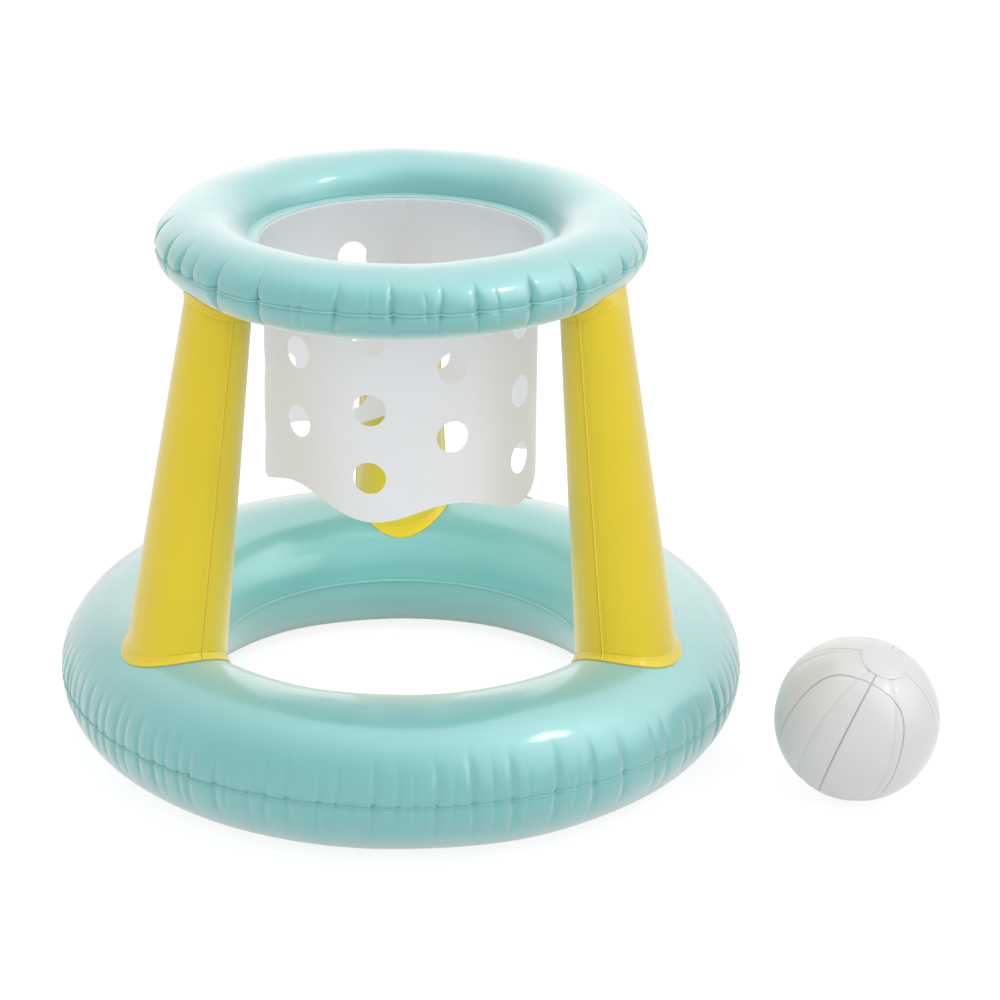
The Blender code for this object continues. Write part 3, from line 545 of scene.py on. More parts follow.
def leg_panel(name, leg, facing, finish):
    """Half of a leg, centred on facing: 0 for the outer panel and pi for the inner one."""
    mean_radius = (LEG_FOOT_RADIUS + LEG_HEAD_RADIUS) / 2
    edge = math.pi / 2 - SIDE_SEAM[-1][0] / mean_radius
    turn = np.concatenate([
        [-math.pi / 2 + away / mean_radius for away, _ in SIDE_SEAM],
        np.linspace(-edge, edge, LEG_COLUMNS)[1:-1],
        [math.pi / 2 - away / mean_radius for away, _ in reversed(SIDE_SEAM)],
    ])
    plain = np.zeros(LEG_COLUMNS - 2)
    valley = np.concatenate([[d for _, d in SIDE_SEAM], plain, [d for _, d in reversed(SIDE_SEAM)]])
    turned_in = np.array([max(0.0, 1 - away / SIDE_SEAM_TUCK) for away, _ in SIDE_SEAM])
    tuck = np.concatenate([turned_in, plain, -turned_in[::-1]]) * FILM / mean_radius
    turn_in = turn + facing + tuck
    turn = turn + facing
    rows = []
    for ring, side, hem in ((base_ring, 1, FOOT_HEM), (top_ring, -1, HEAD_HEM)):
        rows.append([(height_off_ring(ring, side, turn, gap, out, leg), out) for gap, out in hem])
    foot, head = rows
    low, high = foot[-1][0], head[-1][0]
    middle = [(low + (high - low) * k / LEG_ROWS, 0.0) for k in range(1, LEG_ROWS)]
    outer, inner = [], []
    for height, out in foot + middle + head[::-1]:
        outer.append(leg_place(turn, height, out + valley, leg))
        inner.append(leg_place(turn_in, height, out + valley - FILM, leg))
    # The side seams take the lighter weld colour in full, a painted highlight, and the foot hem takes a
    # share of it.
    weld = np.zeros((len(outer), len(turn)))
    weld[:, :3] = weld[:, -3:] = 1
    weld[:4, :] = HEM_WELD_AND_HIGHLIGHT
    return shell(name, np.array(outer), np.array(inner), weld, finish)


yellow_vinyl = film_finish(
    "yellow_vinyl", YELLOW, YELLOW_WELD_HIGHLIGHT, gloss=(0.34, 0.44), coat=0.15, haze=0.7, ior=1.33,
)
for leg in LEG_AZIMUTHS:
    for facing, panel in ((0, "outer"), (math.pi, "inner")):
        piece = leg_panel(f"leg_{leg}_{panel}_film", leg, facing, yellow_vinyl)
        seat(piece, "hoop", "yellow_vinyl", f"leg_{leg}_{panel}_panel")

# Net: one strip of white film, punched with round holes and cut to a wavy hem, then rolled into a
# tube with a lap weld at the back. Its top edge is turned out and welded inside the top ring's band.
NET_COLOUR = (0.87, 0.86, 0.89)
NET_WELD_COLOUR = (0.91, 0.90, 0.92)
NET_WELD_WIDTH = 0.009
NET_BEND = 0.0022
NET_INSET = 0.006
NET_EASE = 0.02
NET_LAP = 0.008
NET_LAP_STEP = 0.0005
NET_LAP_RISE, NET_LAP_SLOPE = 0.012, 0.008
NET_LAP_AZIMUTH = math.radians(88.5)
NET_MEAN_HEM = 0.2729
NET_HEM_WAVE = 0.0095
NET_HEM_TILT = 0.006
NET_HOLE_TILT = 0.003
NET_TILT_AZIMUTH = math.radians(345)
NET_TIP_AZIMUTH = math.radians(257)
NET_TIPS = 5
NET_FLUTE = 0.0013
NET_HOLE_RADIUS = 0.0155
NET_TIP_HOLES = (0.442, 0.374, 0.307)
NET_NOTCH_HOLES = (0.415, 0.347)
NET_HOLE_DRIFT = (0.0, -1.3, 0.3, 0.0, 0.6, -2.3, -1.3, 0.4, 0.0, 1.2)
NET_BACK_STRETCH = 0.073
NET_BACK_AZIMUTH = math.radians(95)
NET_GRID = 0.0032
NET_HOLE_SIDES = 56
NET_THROUGH = (0.98, 0.97, 0.98)
NET_THROUGH_SHARE = 0.6

net_edge = top_ring.radius - top_ring.half_width - TOP_INNER_LIP
net_wall = net_edge - NET_INSET
net_top = top_ring.seam_height - WELD_STACK - 2 * WELD_GAP
net_bend_end = NET_WELD_WIDTH + NET_BEND * math.pi / 2
net_girth = 2 * math.pi * net_wall + NET_LAP


def net_azimuth(along):
    return NET_LAP_AZIMUTH + along / net_wall


def hem_height(azimuth):
    wave = NET_HEM_WAVE * np.cos(NET_TIPS * (azimuth - NET_TIP_AZIMUTH))
    return NET_MEAN_HEM - wave - NET_HEM_TILT * np.cos(azimuth - NET_TILT_AZIMUTH)


def net_down(height):
    """How far down the flat strip a height on the hanging net lies."""
    return net_bend_end + (net_top - NET_BEND) - height


def net_point(along, down, depth):
    """Where a point of the flat strip goes on the rolled net, depth out from its inner face."""
    azimuth = net_azimuth(along)
    hung = max(0.0, down - net_bend_end)
    if down < NET_WELD_WIDTH:
        radius, height, normal = net_edge + NET_WELD_WIDTH - down, net_top, (0, -1)
    elif down < net_bend_end:
        bend = (down - NET_WELD_WIDTH) / NET_BEND
        radius = net_edge - NET_BEND * math.sin(bend)
        height = net_top - NET_BEND * (1 - math.cos(bend))
        normal = (math.sin(bend), -math.cos(bend))
    else:
        radius = net_wall + (net_edge - NET_BEND - net_wall) * math.exp(-hung / NET_EASE)
        height, normal = net_top - NET_BEND - hung, (1, 0)
    loose = hung / net_down(NET_MEAN_HEM)
    flute = math.cos(NET_TIPS * (azimuth - NET_TIP_AZIMUTH)) + 0.7 * math.cos(7 * azimuth + 1.1)
    lap = min(max((along - net_girth + NET_LAP + NET_LAP_RISE) / NET_LAP_SLOPE, 0), 1)
    radius += NET_FLUTE * loose * flute + NET_LAP_STEP * lap * lap * (3 - 2 * lap) * normal[0]
    radius += depth * normal[0]
    height += depth * normal[1] - NET_LAP_STEP * 0.5 * lap * (1 - normal[0])
    return radius * math.cos(azimuth), radius * math.sin(azimuth), height


def net_holes():
    """Centres of the holes on the flat strip: three above each tip of the hem, two between."""
    centres = []
    for column, drift in enumerate(NET_HOLE_DRIFT):
        azimuth = NET_TIP_AZIMUTH + math.pi * column / NET_TIPS + math.radians(drift)
        along = ((azimuth - NET_LAP_AZIMUTH) % (2 * math.pi)) * net_wall
        back = max(0.0, math.cos(azimuth - NET_BACK_AZIMUTH))
        for height in NET_NOTCH_HOLES if column % 2 else NET_TIP_HOLES:
            height -= NET_BACK_STRETCH * back * (NET_TIP_HOLES[0] - height)
            height -= NET_HOLE_TILT * math.cos(azimuth - NET_TILT_AZIMUTH)
            centres.append(Vector((along, net_down(height))))
    return centres


def make_net(finish):
    """The punched strip, cut into triangles while it is flat and then rolled, with both its faces."""
    holes = net_holes()
    across = round(net_girth / NET_GRID)
    top = [Vector((net_girth * k / across, 0)) for k in range(across + 1)]
    hem = [Vector((p.x, net_down(hem_height(net_azimuth(p.x))))) for p in reversed(top)]
    sides = round(hem[0].y / NET_GRID)
    right = [Vector((net_girth, hem[0].y * k / sides)) for k in range(1, sides)]
    left = [Vector((0, hem[-1].y * (1 - k / sides))) for k in range(1, sides)]
    outline = top + right + hem + left
    points = list(outline)
    edges = [(k, (k + 1) % len(outline)) for k in range(len(outline))]
    for centre in holes:
        first = len(points)
        for k in range(NET_HOLE_SIDES):
            spoke = 2 * math.pi * k / NET_HOLE_SIDES
            points.append(centre + NET_HOLE_RADIUS * Vector((math.cos(spoke), math.sin(spoke))))
            edges.append((first + k, first + (k + 1) % NET_HOLE_SIDES))
    bend_rows = [NET_WELD_WIDTH + NET_BEND * math.pi / 2 * k / 4 for k in range(5)]
    for i in range(1, across):
        x = net_girth * i / across
        bottom = net_down(hem_height(net_azimuth(x)))
        points += [Vector((x, y)) for y in bend_rows]
        y = bend_rows[-1] + NET_GRID * (0.75 if i % 2 else 0.5)
        while y < bottom - NET_GRID * 0.6:
            spot = Vector((x, y))
            if all((spot - centre).length > NET_HOLE_RADIUS + NET_GRID * 0.45 for centre in holes):
                points.append(spot)
            y += NET_GRID
    flat, _, cells, *_ = geometry.delaunay_2d_cdt(points, edges, [], 1, 1e-7)

    def is_film(cell):
        middle = sum((flat[k] for k in cell), Vector((0, 0))) / len(cell)
        return all((middle - centre).length > NET_HOLE_RADIUS * 0.999 for centre in holes)

    cells = [cell for cell in cells if is_film(cell)]
    borders = {}
    for cell in cells:
        for a, b in zip(cell, cell[1:] + cell[:1]):
            borders[(a, b)] = borders.get((a, b), 0) + 1
    count = len(flat)
    faces = [list(cell) for cell in cells] + [[k + count for k in reversed(cell)] for cell in cells]
    faces += [[b, a, a + count, b + count] for a, b in borders if (b, a) not in borders]
    rolled = [net_point(p.x, p.y, 0.0) for p in flat] + [net_point(p.x, p.y, FILM) for p in flat]
    lap = [1.0 if p.x < NET_LAP or p.x > net_girth - NET_LAP else 0.0 for p in flat]
    return film_piece("net_film", rolled, faces, lap * 2, finish)


def let_light_through(made, share, colour):
    """Mixes in light that passes the thin white film from its other side."""
    tree = made.node_tree
    through = link_node(tree, "BsdfTranslucent", Color=(*colour, 1))
    film = tree.nodes["Principled BSDF"].outputs[0]
    both = link_node(tree, "MixShader", _0=share, _1=film, _2=through.outputs[0])
    feed(tree, tree.nodes["Material Output"], _0=both.outputs[0])


net_vinyl = film_finish(
    "net_vinyl", NET_COLOUR, NET_WELD_COLOUR, gloss=(0.34, 0.46), coat=0.1, haze=0.5, mottle=0.015,
)
let_light_through(net_vinyl, NET_THROUGH_SHARE, NET_THROUGH)
net = make_net(net_vinyl)
seat(net, "hoop", "net_vinyl", "net")
net_area = net_girth * net_down(NET_MEAN_HEM) - len(net_holes()) * math.pi * NET_HOLE_RADIUS**2

# Ball: six gores of white film with grey printed lines, welded edge to edge, and a round disc welded
# over their points at each end. The weld draws in a shallow valley along every seam.
BALL_CENTRE = Vector((0.430, -0.166, 0.07855))
BALL_RADIUS = 0.07785
BALL_POLE = Vector((0.250, -0.294, 0.922)).normalized()
BALL_PRINT_TURN = math.radians(206)
BALL_SEAM_TURN = math.radians(5)
BALL_GORES = 6
BALL_DISC_ANGLE = math.radians(16.9)
BALL_DISC_TUCK = math.radians(7)
BALL_VALLEY = 0.0006
BALL_VALLEY_REACH = 0.0021
BALL_LOBE = 0.0008
BALL_SEAM_GAP = 0.00004
GORE_ROWS = 44
GORE_COLUMNS = 22
GORE_CROWDING = 0.35
GORE_EDGE_FUSED, DISC_RIM_FUSED = 0.6, 0.5
BALL_COLOUR = (0.62, 0.61, 0.605)
BALL_WELD_COLOUR = (0.57, 0.56, 0.565)
PRINT_GREY = (0.25, 0.24, 0.25)
PRINT_SHIFTS = (0.9, -0.6, 0.4, -1.0, 0.7, -0.3)
PRINT_SHIFT_REACH = 0.009
PRINT_STRENGTH = 0.82
PRINT_BLUR = 0.35
PRINT_HALF_WIDTHS = {"wide": 0.0105, "loop": 0.0068, "fine": 0.0058}
LOOP_HALF_WIDTH, LOOP_HALF_HEIGHT = math.radians(45.6), math.radians(64.8)
LOOP_ROUNDNESS = 1.85
DISC_LIFT, DISC_RIM_LIFT = 0.0004, 0.0001
DISC_RIM = 0.012
DISC_DRAWN = 0.25
DISC_SIDES = 96

level = Vector((0, 0, 1)).cross(BALL_POLE).normalized()
forward = BALL_POLE.cross(level)
print_x = math.cos(BALL_PRINT_TURN) * level + math.sin(BALL_PRINT_TURN) * forward
print_y = BALL_POLE.cross(print_x)
ball_frame = frame_of(print_x, print_y, BALL_POLE, BALL_CENTRE)


def ball_skin(polar, turn, depth=0.0, drawn=1.0):
    """Points of the ball: polar is the angle from the upper disc's middle, and turn goes round it from
    a loop's middle. drawn is the share of the seams' valleys and lobes that shows."""
    from_seam = (turn - BALL_SEAM_TURN + BALL_PRINT_TURN) % (2 * math.pi / BALL_GORES)
    middle = math.pi / BALL_GORES
    away = (middle - np.abs(from_seam - middle)) * BALL_RADIUS * np.sin(polar)
    lobe = BALL_LOBE * (np.sin(polar) * np.cos(2 * (from_seam - middle) / middle) - 1) / 2
    valley = BALL_VALLEY * np.exp(-((away / BALL_VALLEY_REACH) ** 2))
    radius = BALL_RADIUS - depth + drawn * (lobe - valley)
    points = np.stack([
        radius * np.sin(polar) * np.cos(turn),
        radius * np.sin(polar) * np.sin(turn),
        radius * np.cos(polar),
    ], axis=-1)
    return points @ np.array(ball_frame.to_3x3()).T + np.array(BALL_CENTRE)


def mark_print(piece, shift):
    """Marks each point with its place from the ball's middle, moved along the pole by the gore's shift.
    The printed lines follow it."""
    back = ball_frame.inverted()
    moved = Vector((0, 0, PRINT_SHIFT_REACH * shift * BALL_RADIUS))
    places = [back @ vertex.co + moved for vertex in piece.data.vertices]
    marks = piece.data.attributes
    if "print_place" in marks:
        marks.remove(marks["print_place"])
    marked = marks.new("print_place", "FLOAT_VECTOR", "POINT")
    marked.data.foreach_set("vector", np.array(places, np.float32).ravel())


def printed_film(name):
    """The ball's film: four great-circle halves and two loops, printed in grey, clear of the discs."""
    made = film_finish(
        name, BALL_COLOUR, BALL_WELD_COLOUR, gloss=(0.32, 0.42), coat=0.15, haze=0.8, mottle=0.02,
    )
    tree = made.node_tree
    shader = tree.nodes["Principled BSDF"]
    plain = shader.inputs["Base Color"].links[0].from_socket
    place = link_node(tree, "Attribute", attribute_name="print_place").outputs["Vector"]
    unit = link_node(tree, "VectorMath", operation="NORMALIZE", _0=place)
    parts = link_node(tree, "SeparateXYZ", Vector=unit.outputs[0])
    x, y, z = (parts.outputs[k] for k in range(3))

    def calc(operation, *values):
        return math_node(tree, operation, *values)

    def size(value):
        return calc("ABSOLUTE", value)

    def power(value, exponent):
        return calc("POWER", value, exponent)

    def between(value, low, high):
        """1 where value is at low or under it, 0 at high or over it, and a soft edge between."""
        edge = link_node(tree, "MapRange", Value=value, _1=low, _2=high, _3=1.0, _4=0.0)
        return edge.outputs[0]

    def line(distance, half_width):
        return between(distance, half_width * (1 - PRINT_BLUR), half_width * (1 + PRINT_BLUR))

    across = size(calc("ARCSINE", y))
    upward = size(calc("ARCSINE", z))
    first = power(calc("DIVIDE", across, LOOP_HALF_WIDTH), LOOP_ROUNDNESS)
    second = power(calc("DIVIDE", upward, LOOP_HALF_HEIGHT), LOOP_ROUNDNESS)
    round_loop = power(calc("ADD", first, second), 1 / LOOP_ROUNDNESS)
    squares = calc("ADD", power(across, 2.0), power(upward, 2.0))
    reach = calc("SQRT", squares)
    off_loop = size(calc("SUBTRACT", reach, calc("DIVIDE", reach, round_loop)))
    loops = line(off_loop, PRINT_HALF_WIDTHS["loop"])
    ink = calc("MAXIMUM", line(across, PRINT_HALF_WIDTHS["wide"]), loops)
    ink = calc("MAXIMUM", ink, line(size(x), PRINT_HALF_WIDTHS["fine"]))
    clear = between(size(z), math.cos(BALL_DISC_ANGLE + DISC_RIM), math.cos(BALL_DISC_ANGLE))
    inked = calc("MULTIPLY", calc("MULTIPLY", ink, clear), PRINT_STRENGTH)
    feed(tree, shader, Base_Color=mixed_colour(tree, inked, plain, (*PRINT_GREY, 1)))
    return made


ball_vinyl = printed_film("ball_vinyl")
valved_gore = None
for gore in range(BALL_GORES):
    start = BALL_SEAM_TURN - BALL_PRINT_TURN + 2 * math.pi * gore / BALL_GORES
    tip = BALL_DISC_ANGLE - BALL_DISC_TUCK
    polar = np.linspace(tip, math.pi - tip, GORE_ROWS)
    share = (1 - np.cos(np.linspace(0, math.pi, GORE_COLUMNS))) / 2
    share = GORE_CROWDING * share + (1 - GORE_CROWDING) * np.linspace(0, 1, GORE_COLUMNS)
    inset = BALL_SEAM_GAP / (BALL_RADIUS * np.sin(polar))[:, None]
    turn = start + inset + (2 * math.pi / BALL_GORES - 2 * inset) * share[None, :]
    rows = np.repeat(polar[:, None], GORE_COLUMNS, axis=1)
    weld = np.zeros_like(turn)
    weld[:, 0] = weld[:, -1] = GORE_EDGE_FUSED
    outer, inner = ball_skin(rows, turn), ball_skin(rows, turn, FILM)
    if gore == 0:
        outer = flattened(outer, valve_frame("ball"), 0)
        inner = flattened(inner, valve_frame("ball"), FILM)
    piece = shell(f"ball_gore_{gore + 1}_film", outer, inner, weld, ball_vinyl)
    mark_print(piece, PRINT_SHIFTS[gore])
    seat(piece, "ball", "ball_vinyl", f"ball_gore_{gore + 1}")
    valved_gore = valved_gore or piece


def end_disc(name, upper):
    """A disc of film over the gores' points, in rings round the pole, smooth over their seams."""
    around = np.linspace(0, 2 * math.pi, DISC_SIDES + 1)[:-1]
    polars = np.concatenate([np.linspace(0.02, BALL_DISC_ANGLE - DISC_RIM, 11), [BALL_DISC_ANGLE]])
    if not upper:
        polars = math.pi - polars
    rows = np.repeat(polars[:, None], len(around), axis=1)
    turns = np.repeat(around[None, :], len(polars), axis=0)
    lift = np.full(len(polars), DISC_LIFT)
    lift[-1] = DISC_RIM_LIFT
    outer = ball_skin(rows, turns, -lift[:, None], drawn=DISC_DRAWN)
    inner = ball_skin(rows, turns, 0.0, drawn=DISC_DRAWN)
    count = outer.shape[0] * outer.shape[1]
    grid = np.arange(count).reshape(outer.shape[:2])
    ahead = np.roll(grid, -1, axis=1)
    quads = np.stack([grid[:-1], ahead[:-1], ahead[1:], grid[1:]], axis=2).reshape(-1, 4)
    rim = np.stack([grid[-1], ahead[-1], ahead[-1] + count, grid[-1] + count], axis=1)
    faces = np.concatenate([quads, quads[:, ::-1] + count, rim]).tolist()
    faces += [grid[0].tolist(), (grid[0][::-1] + count).tolist()]
    points = np.concatenate([outer.reshape(-1, 3), inner.reshape(-1, 3)])
    weld = np.zeros((2, *grid.shape))
    weld[:, -2:] = DISC_RIM_FUSED
    piece = film_piece(name, points, faces, weld, ball_vinyl)
    mark_print(piece, 0.0)
    return piece


for end, upper in (("front", True), ("rear", False)):
    seat(end_disc(f"ball_{end}_disc_film", upper), "ball", "ball_vinyl", f"ball_{end}_disc")

# Valves: one each in the base ring, the top ring and the ball, moulded from clear soft vinyl. The
# flange is welded on the film and its collar guides the stem, which is pulled out to blow up. A plug
# on a strap closes the stem's mouth, and a soft flap hangs under its inner end.
VALVE_COLOUR = (0.84, 0.88, 0.89)
VALVE_SIDES = 48
VALVE_HOLE_RADIUS = 0.0068
VALVE_HOLE_REACH = 0.005
VALVE_OUTLINES = {
    "flange": (
        (0.0055, -0.0045), (0.0055, 0.0006), (0.0056, 0.0009), (0.0059, 0.00105), (0.0063, 0.00105),
        (0.0067, 0.0009), (0.0071, 0.00075), (0.0078, 0.0007), (0.0082, 0.00045), (0.0086, 0.0007),
        (0.0094, 0.0007), (0.0098, 0.00045), (0.0102, 0.0007), (0.0112, 0.00065), (0.0117, 0.0005),
        (0.0120, 0.00025), (0.0120, 0.00005), (0.0066, 0.00005), (0.0065, -0.0001), (0.0065, -0.0045),
    ),
    "stem": (
        (0.0034, -0.0140), (0.0034, 0.0022), (0.0035, 0.0024), (0.0037, 0.0025), (0.0049, 0.0025),
        (0.0051, 0.0024), (0.0052, 0.0022), (0.0052, -0.0130), (0.0061, -0.0130), (0.0063, -0.0132),
        (0.0063, -0.0138), (0.0061, -0.0140),
    ),
    "plug": (
        (0, -0.0022), (0.0016, -0.0022), (0.0019, -0.0021), (0.0020, -0.0019), (0.0030, 0.0025),
        (0.0031, 0.0028), (0.0052, 0.0028), (0.0055, 0.0029), (0.0056, 0.0031), (0.0056, 0.0036),
        (0.0055, 0.0039), (0.0052, 0.0041), (0.0046, 0.0043), (0.0036, 0.00435), (0.0031, 0.0042),
        (0.0026, 0.0040), (0, 0.0039),
    ),
    "flap": (
        (0, -0.0143), (0.0044, -0.0143), (0.0046, -0.01435), (0.0047, -0.01445), (0.0046, -0.0146),
        (0.0042, -0.0147), (0, -0.0148),
    ),
}
VALVE_LUG = ((-0.0074, -0.0043), (-0.0018, 0.0018), (0.0015, 0.0025))
VALVE_STRAP = ((-0.0077, -0.0048), (-0.0018, 0.0018), (0.0028, 0.0036))
VALVE_TAB = ((0.0048, 0.0082), (-0.0018, 0.0018), (0.0028, 0.0036))
VALVE_RIBS = [((x - 0.0003, x + 0.0003), (-0.0015, 0.0015), (0.0033, 0.0039)) for x in (0.0066, 0.0076)]
VALVE_ARMS = {"stem": [VALVE_LUG], "plug": [VALVE_STRAP, VALVE_TAB, *VALVE_RIBS]}
ARM_ROUNDING, RIB_ROUNDING = 0.00025, 0.00015
VALVE_CLEARNESS = 0.3


def boolean(piece, other, operation):
    """Cuts a piece with another closed mesh, or joins the two, and throws the other away."""
    modifier = piece.modifiers.new("boolean", "BOOLEAN")
    modifier.operation = operation
    modifier.solver = "EXACT"
    modifier.object = other
    bpy.context.view_layer.update()
    graph = bpy.context.evaluated_depsgraph_get()
    result = bpy.data.meshes.new_from_object(piece.evaluated_get(graph))
    piece.modifiers.clear()
    piece.data = result
    bpy.data.objects.remove(other)
    smoothed(result)


def turned(name, outline, finish, place):
    """A piece turned round its valve's axis from radii and heights. An outline that doesn't reach the
    axis closes on itself."""
    points, rings = [], []
    for radius, height in outline:
        sides = VALVE_SIDES if radius else 1
        rings.append([len(points) + k for k in range(sides)])
        for k in range(sides):
            spoke = 2 * math.pi * k / VALVE_SIDES
            points.append(place @ Vector((radius * math.cos(spoke), radius * math.sin(spoke), height)))
    pairs = list(zip(rings, rings[1:]))
    if len(rings[0]) > 1:
        pairs.append((rings[-1], rings[0]))
    faces = []
    for low, high in pairs:
        for k in range(VALVE_SIDES):
            near = [low[k % len(low)], low[(k + 1) % len(low)]]
            far = [high[(k + 1) % len(high)], high[k % len(high)]]
            faces.append(list(dict.fromkeys(near + far)))
    return film_piece(name, points, faces, [0.0] * len(points), finish, TURNED_SHARP_EDGE)


def block(spans, finish, place, rounding):
    """A block with rounded edges between its lowest and highest x, y and z."""
    builder = bmesh.new()
    bmesh.ops.create_cube(builder, size=1)
    sizes = [high - low for low, high in spans]
    middle = [(low + high) / 2 for low, high in spans]
    bmesh.ops.scale(builder, vec=sizes, verts=builder.verts)
    bmesh.ops.bevel(
        builder, geom=builder.edges[:], offset=rounding, segments=3, affect="EDGES", profile=0.5,
    )
    bmesh.ops.translate(builder, vec=middle, verts=builder.verts)
    points = [place @ vertex.co for vertex in builder.verts]
    faces = [[vertex.index for vertex in face.verts] for face in builder.faces]
    builder.free()
    return film_piece("block", points, faces, [0.0] * len(points), finish)


def clear_finish(name):
    """Clear soft vinyl, which lets some of the film under it show."""
    made = film_finish(name, VALVE_COLOUR, VALVE_COLOUR, gloss=(0.16, 0.24), coat=0.0, mottle=0.02)
    feed(made.node_tree, made.node_tree.nodes["Principled BSDF"], Transmission_Weight=VALVE_CLEARNESS)
    return made


valve_vinyl = clear_finish("valve_vinyl")
valve_hole = (
    (0, -VALVE_HOLE_REACH), (VALVE_HOLE_RADIUS, -VALVE_HOLE_REACH),
    (VALVE_HOLE_RADIUS, VALVE_HOLE_REACH), (0, VALVE_HOLE_REACH),
)
valve_places = (("base", "hoop", base_upper), ("top", "hoop", top_lower), ("ball", "ball", valved_gore))
for valve, body, film in valve_places:
    place = valve_frame(valve)
    boolean(film, turned("hole", valve_hole, film.data.materials[0], place), "DIFFERENCE")
    for part, outline in VALVE_OUTLINES.items():
        piece = turned(f"{valve}_{part}", outline, valve_vinyl, place)
        for spans in VALVE_ARMS.get(part, ()):
            rounding = RIB_ROUNDING if spans in VALVE_RIBS else ARM_ROUNDING
            boolean(piece, block(spans, valve_vinyl, place, rounding), "UNION")
        carrier = body if part == "flange" else f"{valve}_{part}"
        seat(piece, carrier, "valve_vinyl", f"{valve}_valve_{part}")
mark_print(valved_gore, PRINT_SHIFTS[0])

# Floor: a wide sheet of white paper, with the white of the room behind it. The camera sees it nearly
# white all over, and it keeps the toy's soft shadow.
FLOOR_REACH = 14.0
FLOOR_COLOUR = 0.85
FLOOR_SEEN_COLOUR = 0.25
FLOOR_LIFT = 0.86
FLOOR_DROP = 0.0002
FLOOR_CELLS = 8
WHITE_IN_GLOSS = 0.25


def white_seen(tree):
    """The kinds of ray, and how white the room is to them: fully to the camera and through clear vinyl,
    and by a share in a gloss."""
    rays = link_node(tree, "LightPath").outputs
    seen = math_node(tree, "MAXIMUM", rays["Is Camera Ray"], rays["Is Transmission Ray"])
    gloss = math_node(tree, "MULTIPLY", rays["Is Glossy Ray"], WHITE_IN_GLOSS)
    return rays, math_node(tree, "MAXIMUM", seen, gloss)


bpy.ops.mesh.primitive_grid_add(
    x_subdivisions=FLOOR_CELLS, y_subdivisions=FLOOR_CELLS, size=2 * FLOOR_REACH,
    location=(0, 0, -FLOOR_DROP),
)
floor = bpy.context.active_object
floor.name = "floor"
paper = bpy.data.materials.new("white_paper")
paper.use_nodes = True
tree = paper.node_tree
tree.nodes.clear()
_, seen = white_seen(tree)
shade = mixed_colour(tree, seen, (*[FLOOR_COLOUR] * 3, 1), (*[FLOOR_SEEN_COLOUR] * 3, 1))
matte = link_node(tree, "BsdfDiffuse", Color=shade)
lift = link_node(tree, "Emission", Strength=math_node(tree, "MULTIPLY", seen, FLOOR_LIFT))
both = link_node(tree, "AddShader", _0=matte.outputs[0], _1=lift.outputs[0])
link_node(tree, "OutputMaterial", _0=both.outputs[0])
floor.data.materials.append(paper)

# Light: a white room with soft boxes, a small lamp at the right in front, and a dim one under the net
# that shines down. A box has an azimuth, an elevation, how tightly it is aimed, its strength on matte
# surfaces, and the brightness of its face in glossy ones.
ROOM_LEVEL = 0.38
SOFT_BOXES = (
    (90, 20, 4, 0.75, 1.6),
    (90, 85, 5, 0.32, 3.5),
    (345, 35, 5, 0.33, 4.5),
    (35, 28, 6, 0.05, 0.9),
    (170, 20, 6, 0.7, 0.45),
    (270, 8, 2, 1.3, 0.3),
)
LAMP_PLACE = (-23, 51)
LAMP_STRENGTH = 0.45
LAMP_SPREAD = math.radians(10)
FILL_SIZE, FILL_HEIGHT, FILL_STRENGTH = 0.22, 0.245, 0.32


def direction_to(azimuth, elevation):
    """The way to a place in the room, from its azimuth and elevation in degrees."""
    azimuth, elevation = math.radians(azimuth), math.radians(elevation)
    level = math.cos(elevation)
    return Vector((math.cos(azimuth) * level, math.sin(azimuth) * level, math.sin(elevation)))


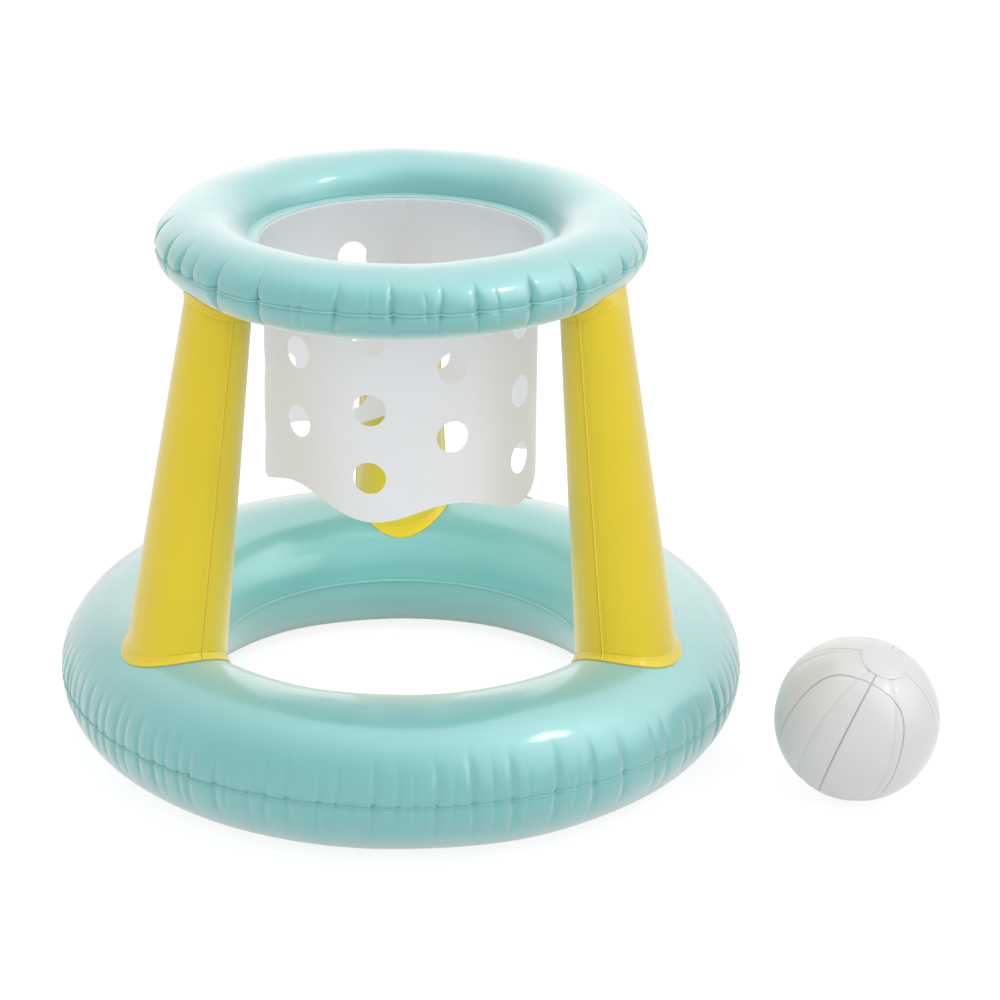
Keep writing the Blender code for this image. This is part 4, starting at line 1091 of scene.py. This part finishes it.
room = bpy.data.worlds.new("white_room")
bpy.context.scene.world = room
room.use_nodes = True
tree = room.node_tree
tree.nodes.clear()
rays, seen = white_seen(tree)
direction = link_node(tree, "TexCoord").outputs["Generated"]
glow = ROOM_LEVEL
for azimuth, elevation, focus, strength, face in SOFT_BOXES:
    towards = direction_to(azimuth, elevation)
    facing = link_node(tree, "VectorMath", operation="DOT_PRODUCT", _0=direction, _1=towards)
    ahead = math_node(tree, "MAXIMUM", facing.outputs["Value"], 0.0)
    lobe = math_node(tree, "POWER", ahead, float(focus))
    shown = math_node(tree, "MULTIPLY_ADD", rays["Is Glossy Ray"], face - strength, strength)
    glow = math_node(tree, "MULTIPLY_ADD", lobe, shown, glow)
dim = link_node(tree, "Background", Color=(1, 1, 1, 1), Strength=glow)
white = link_node(tree, "Background", Color=(1, 1, 1, 1), Strength=1.0)
pick = link_node(tree, "MixShader", _0=seen, _1=dim.outputs[0], _2=white.outputs[0])
link_node(tree, "OutputWorld", _0=pick.outputs[0])

key = bpy.data.lights.new("key_lamp", "SUN")
key.energy = LAMP_STRENGTH
key.angle = LAMP_SPREAD
placed("key_lamp", key).rotation_euler = direction_to(*LAMP_PLACE).to_track_quat("Z", "Y").to_euler()

fill = bpy.data.lights.new("fill_lamp", "AREA")
fill.shape = "DISK"
fill.size = FILL_SIZE
fill.energy = FILL_STRENGTH
fill_lamp = placed("fill_lamp", fill)
fill_lamp.location = (0, 0, FILL_HEIGHT)
fill_lamp.visible_camera = False
fill_lamp.visible_glossy = False

# Camera: a long lens, a little above the top ring, aimed at the hoop's axis. The shift puts the hoop
# left of the middle, so that the ball has room beside it.
CAMERA_AIM = Vector((0, 0, 0.275))
CAMERA_DISTANCE = 3.115
CAMERA_ELEVATION = math.radians(21.15)
CAMERA_LENS, CAMERA_SENSOR = 115.66, 36
CAMERA_SHIFT = (0.0989, -0.0393)

lens = bpy.data.cameras.new("camera")
lens.lens = CAMERA_LENS
lens.sensor_width = CAMERA_SENSOR
lens.shift_x, lens.shift_y = CAMERA_SHIFT
lens.dof.use_dof = False
camera = placed("camera", lens)
back = Vector((0, -math.cos(CAMERA_ELEVATION), math.sin(CAMERA_ELEVATION)))
camera.location = CAMERA_AIM + CAMERA_DISTANCE * back
camera.rotation_euler = back.to_track_quat("Z", "Y").to_euler()
bpy.context.scene.camera = camera
bpy.context.scene.view_settings.view_transform = "Standard"
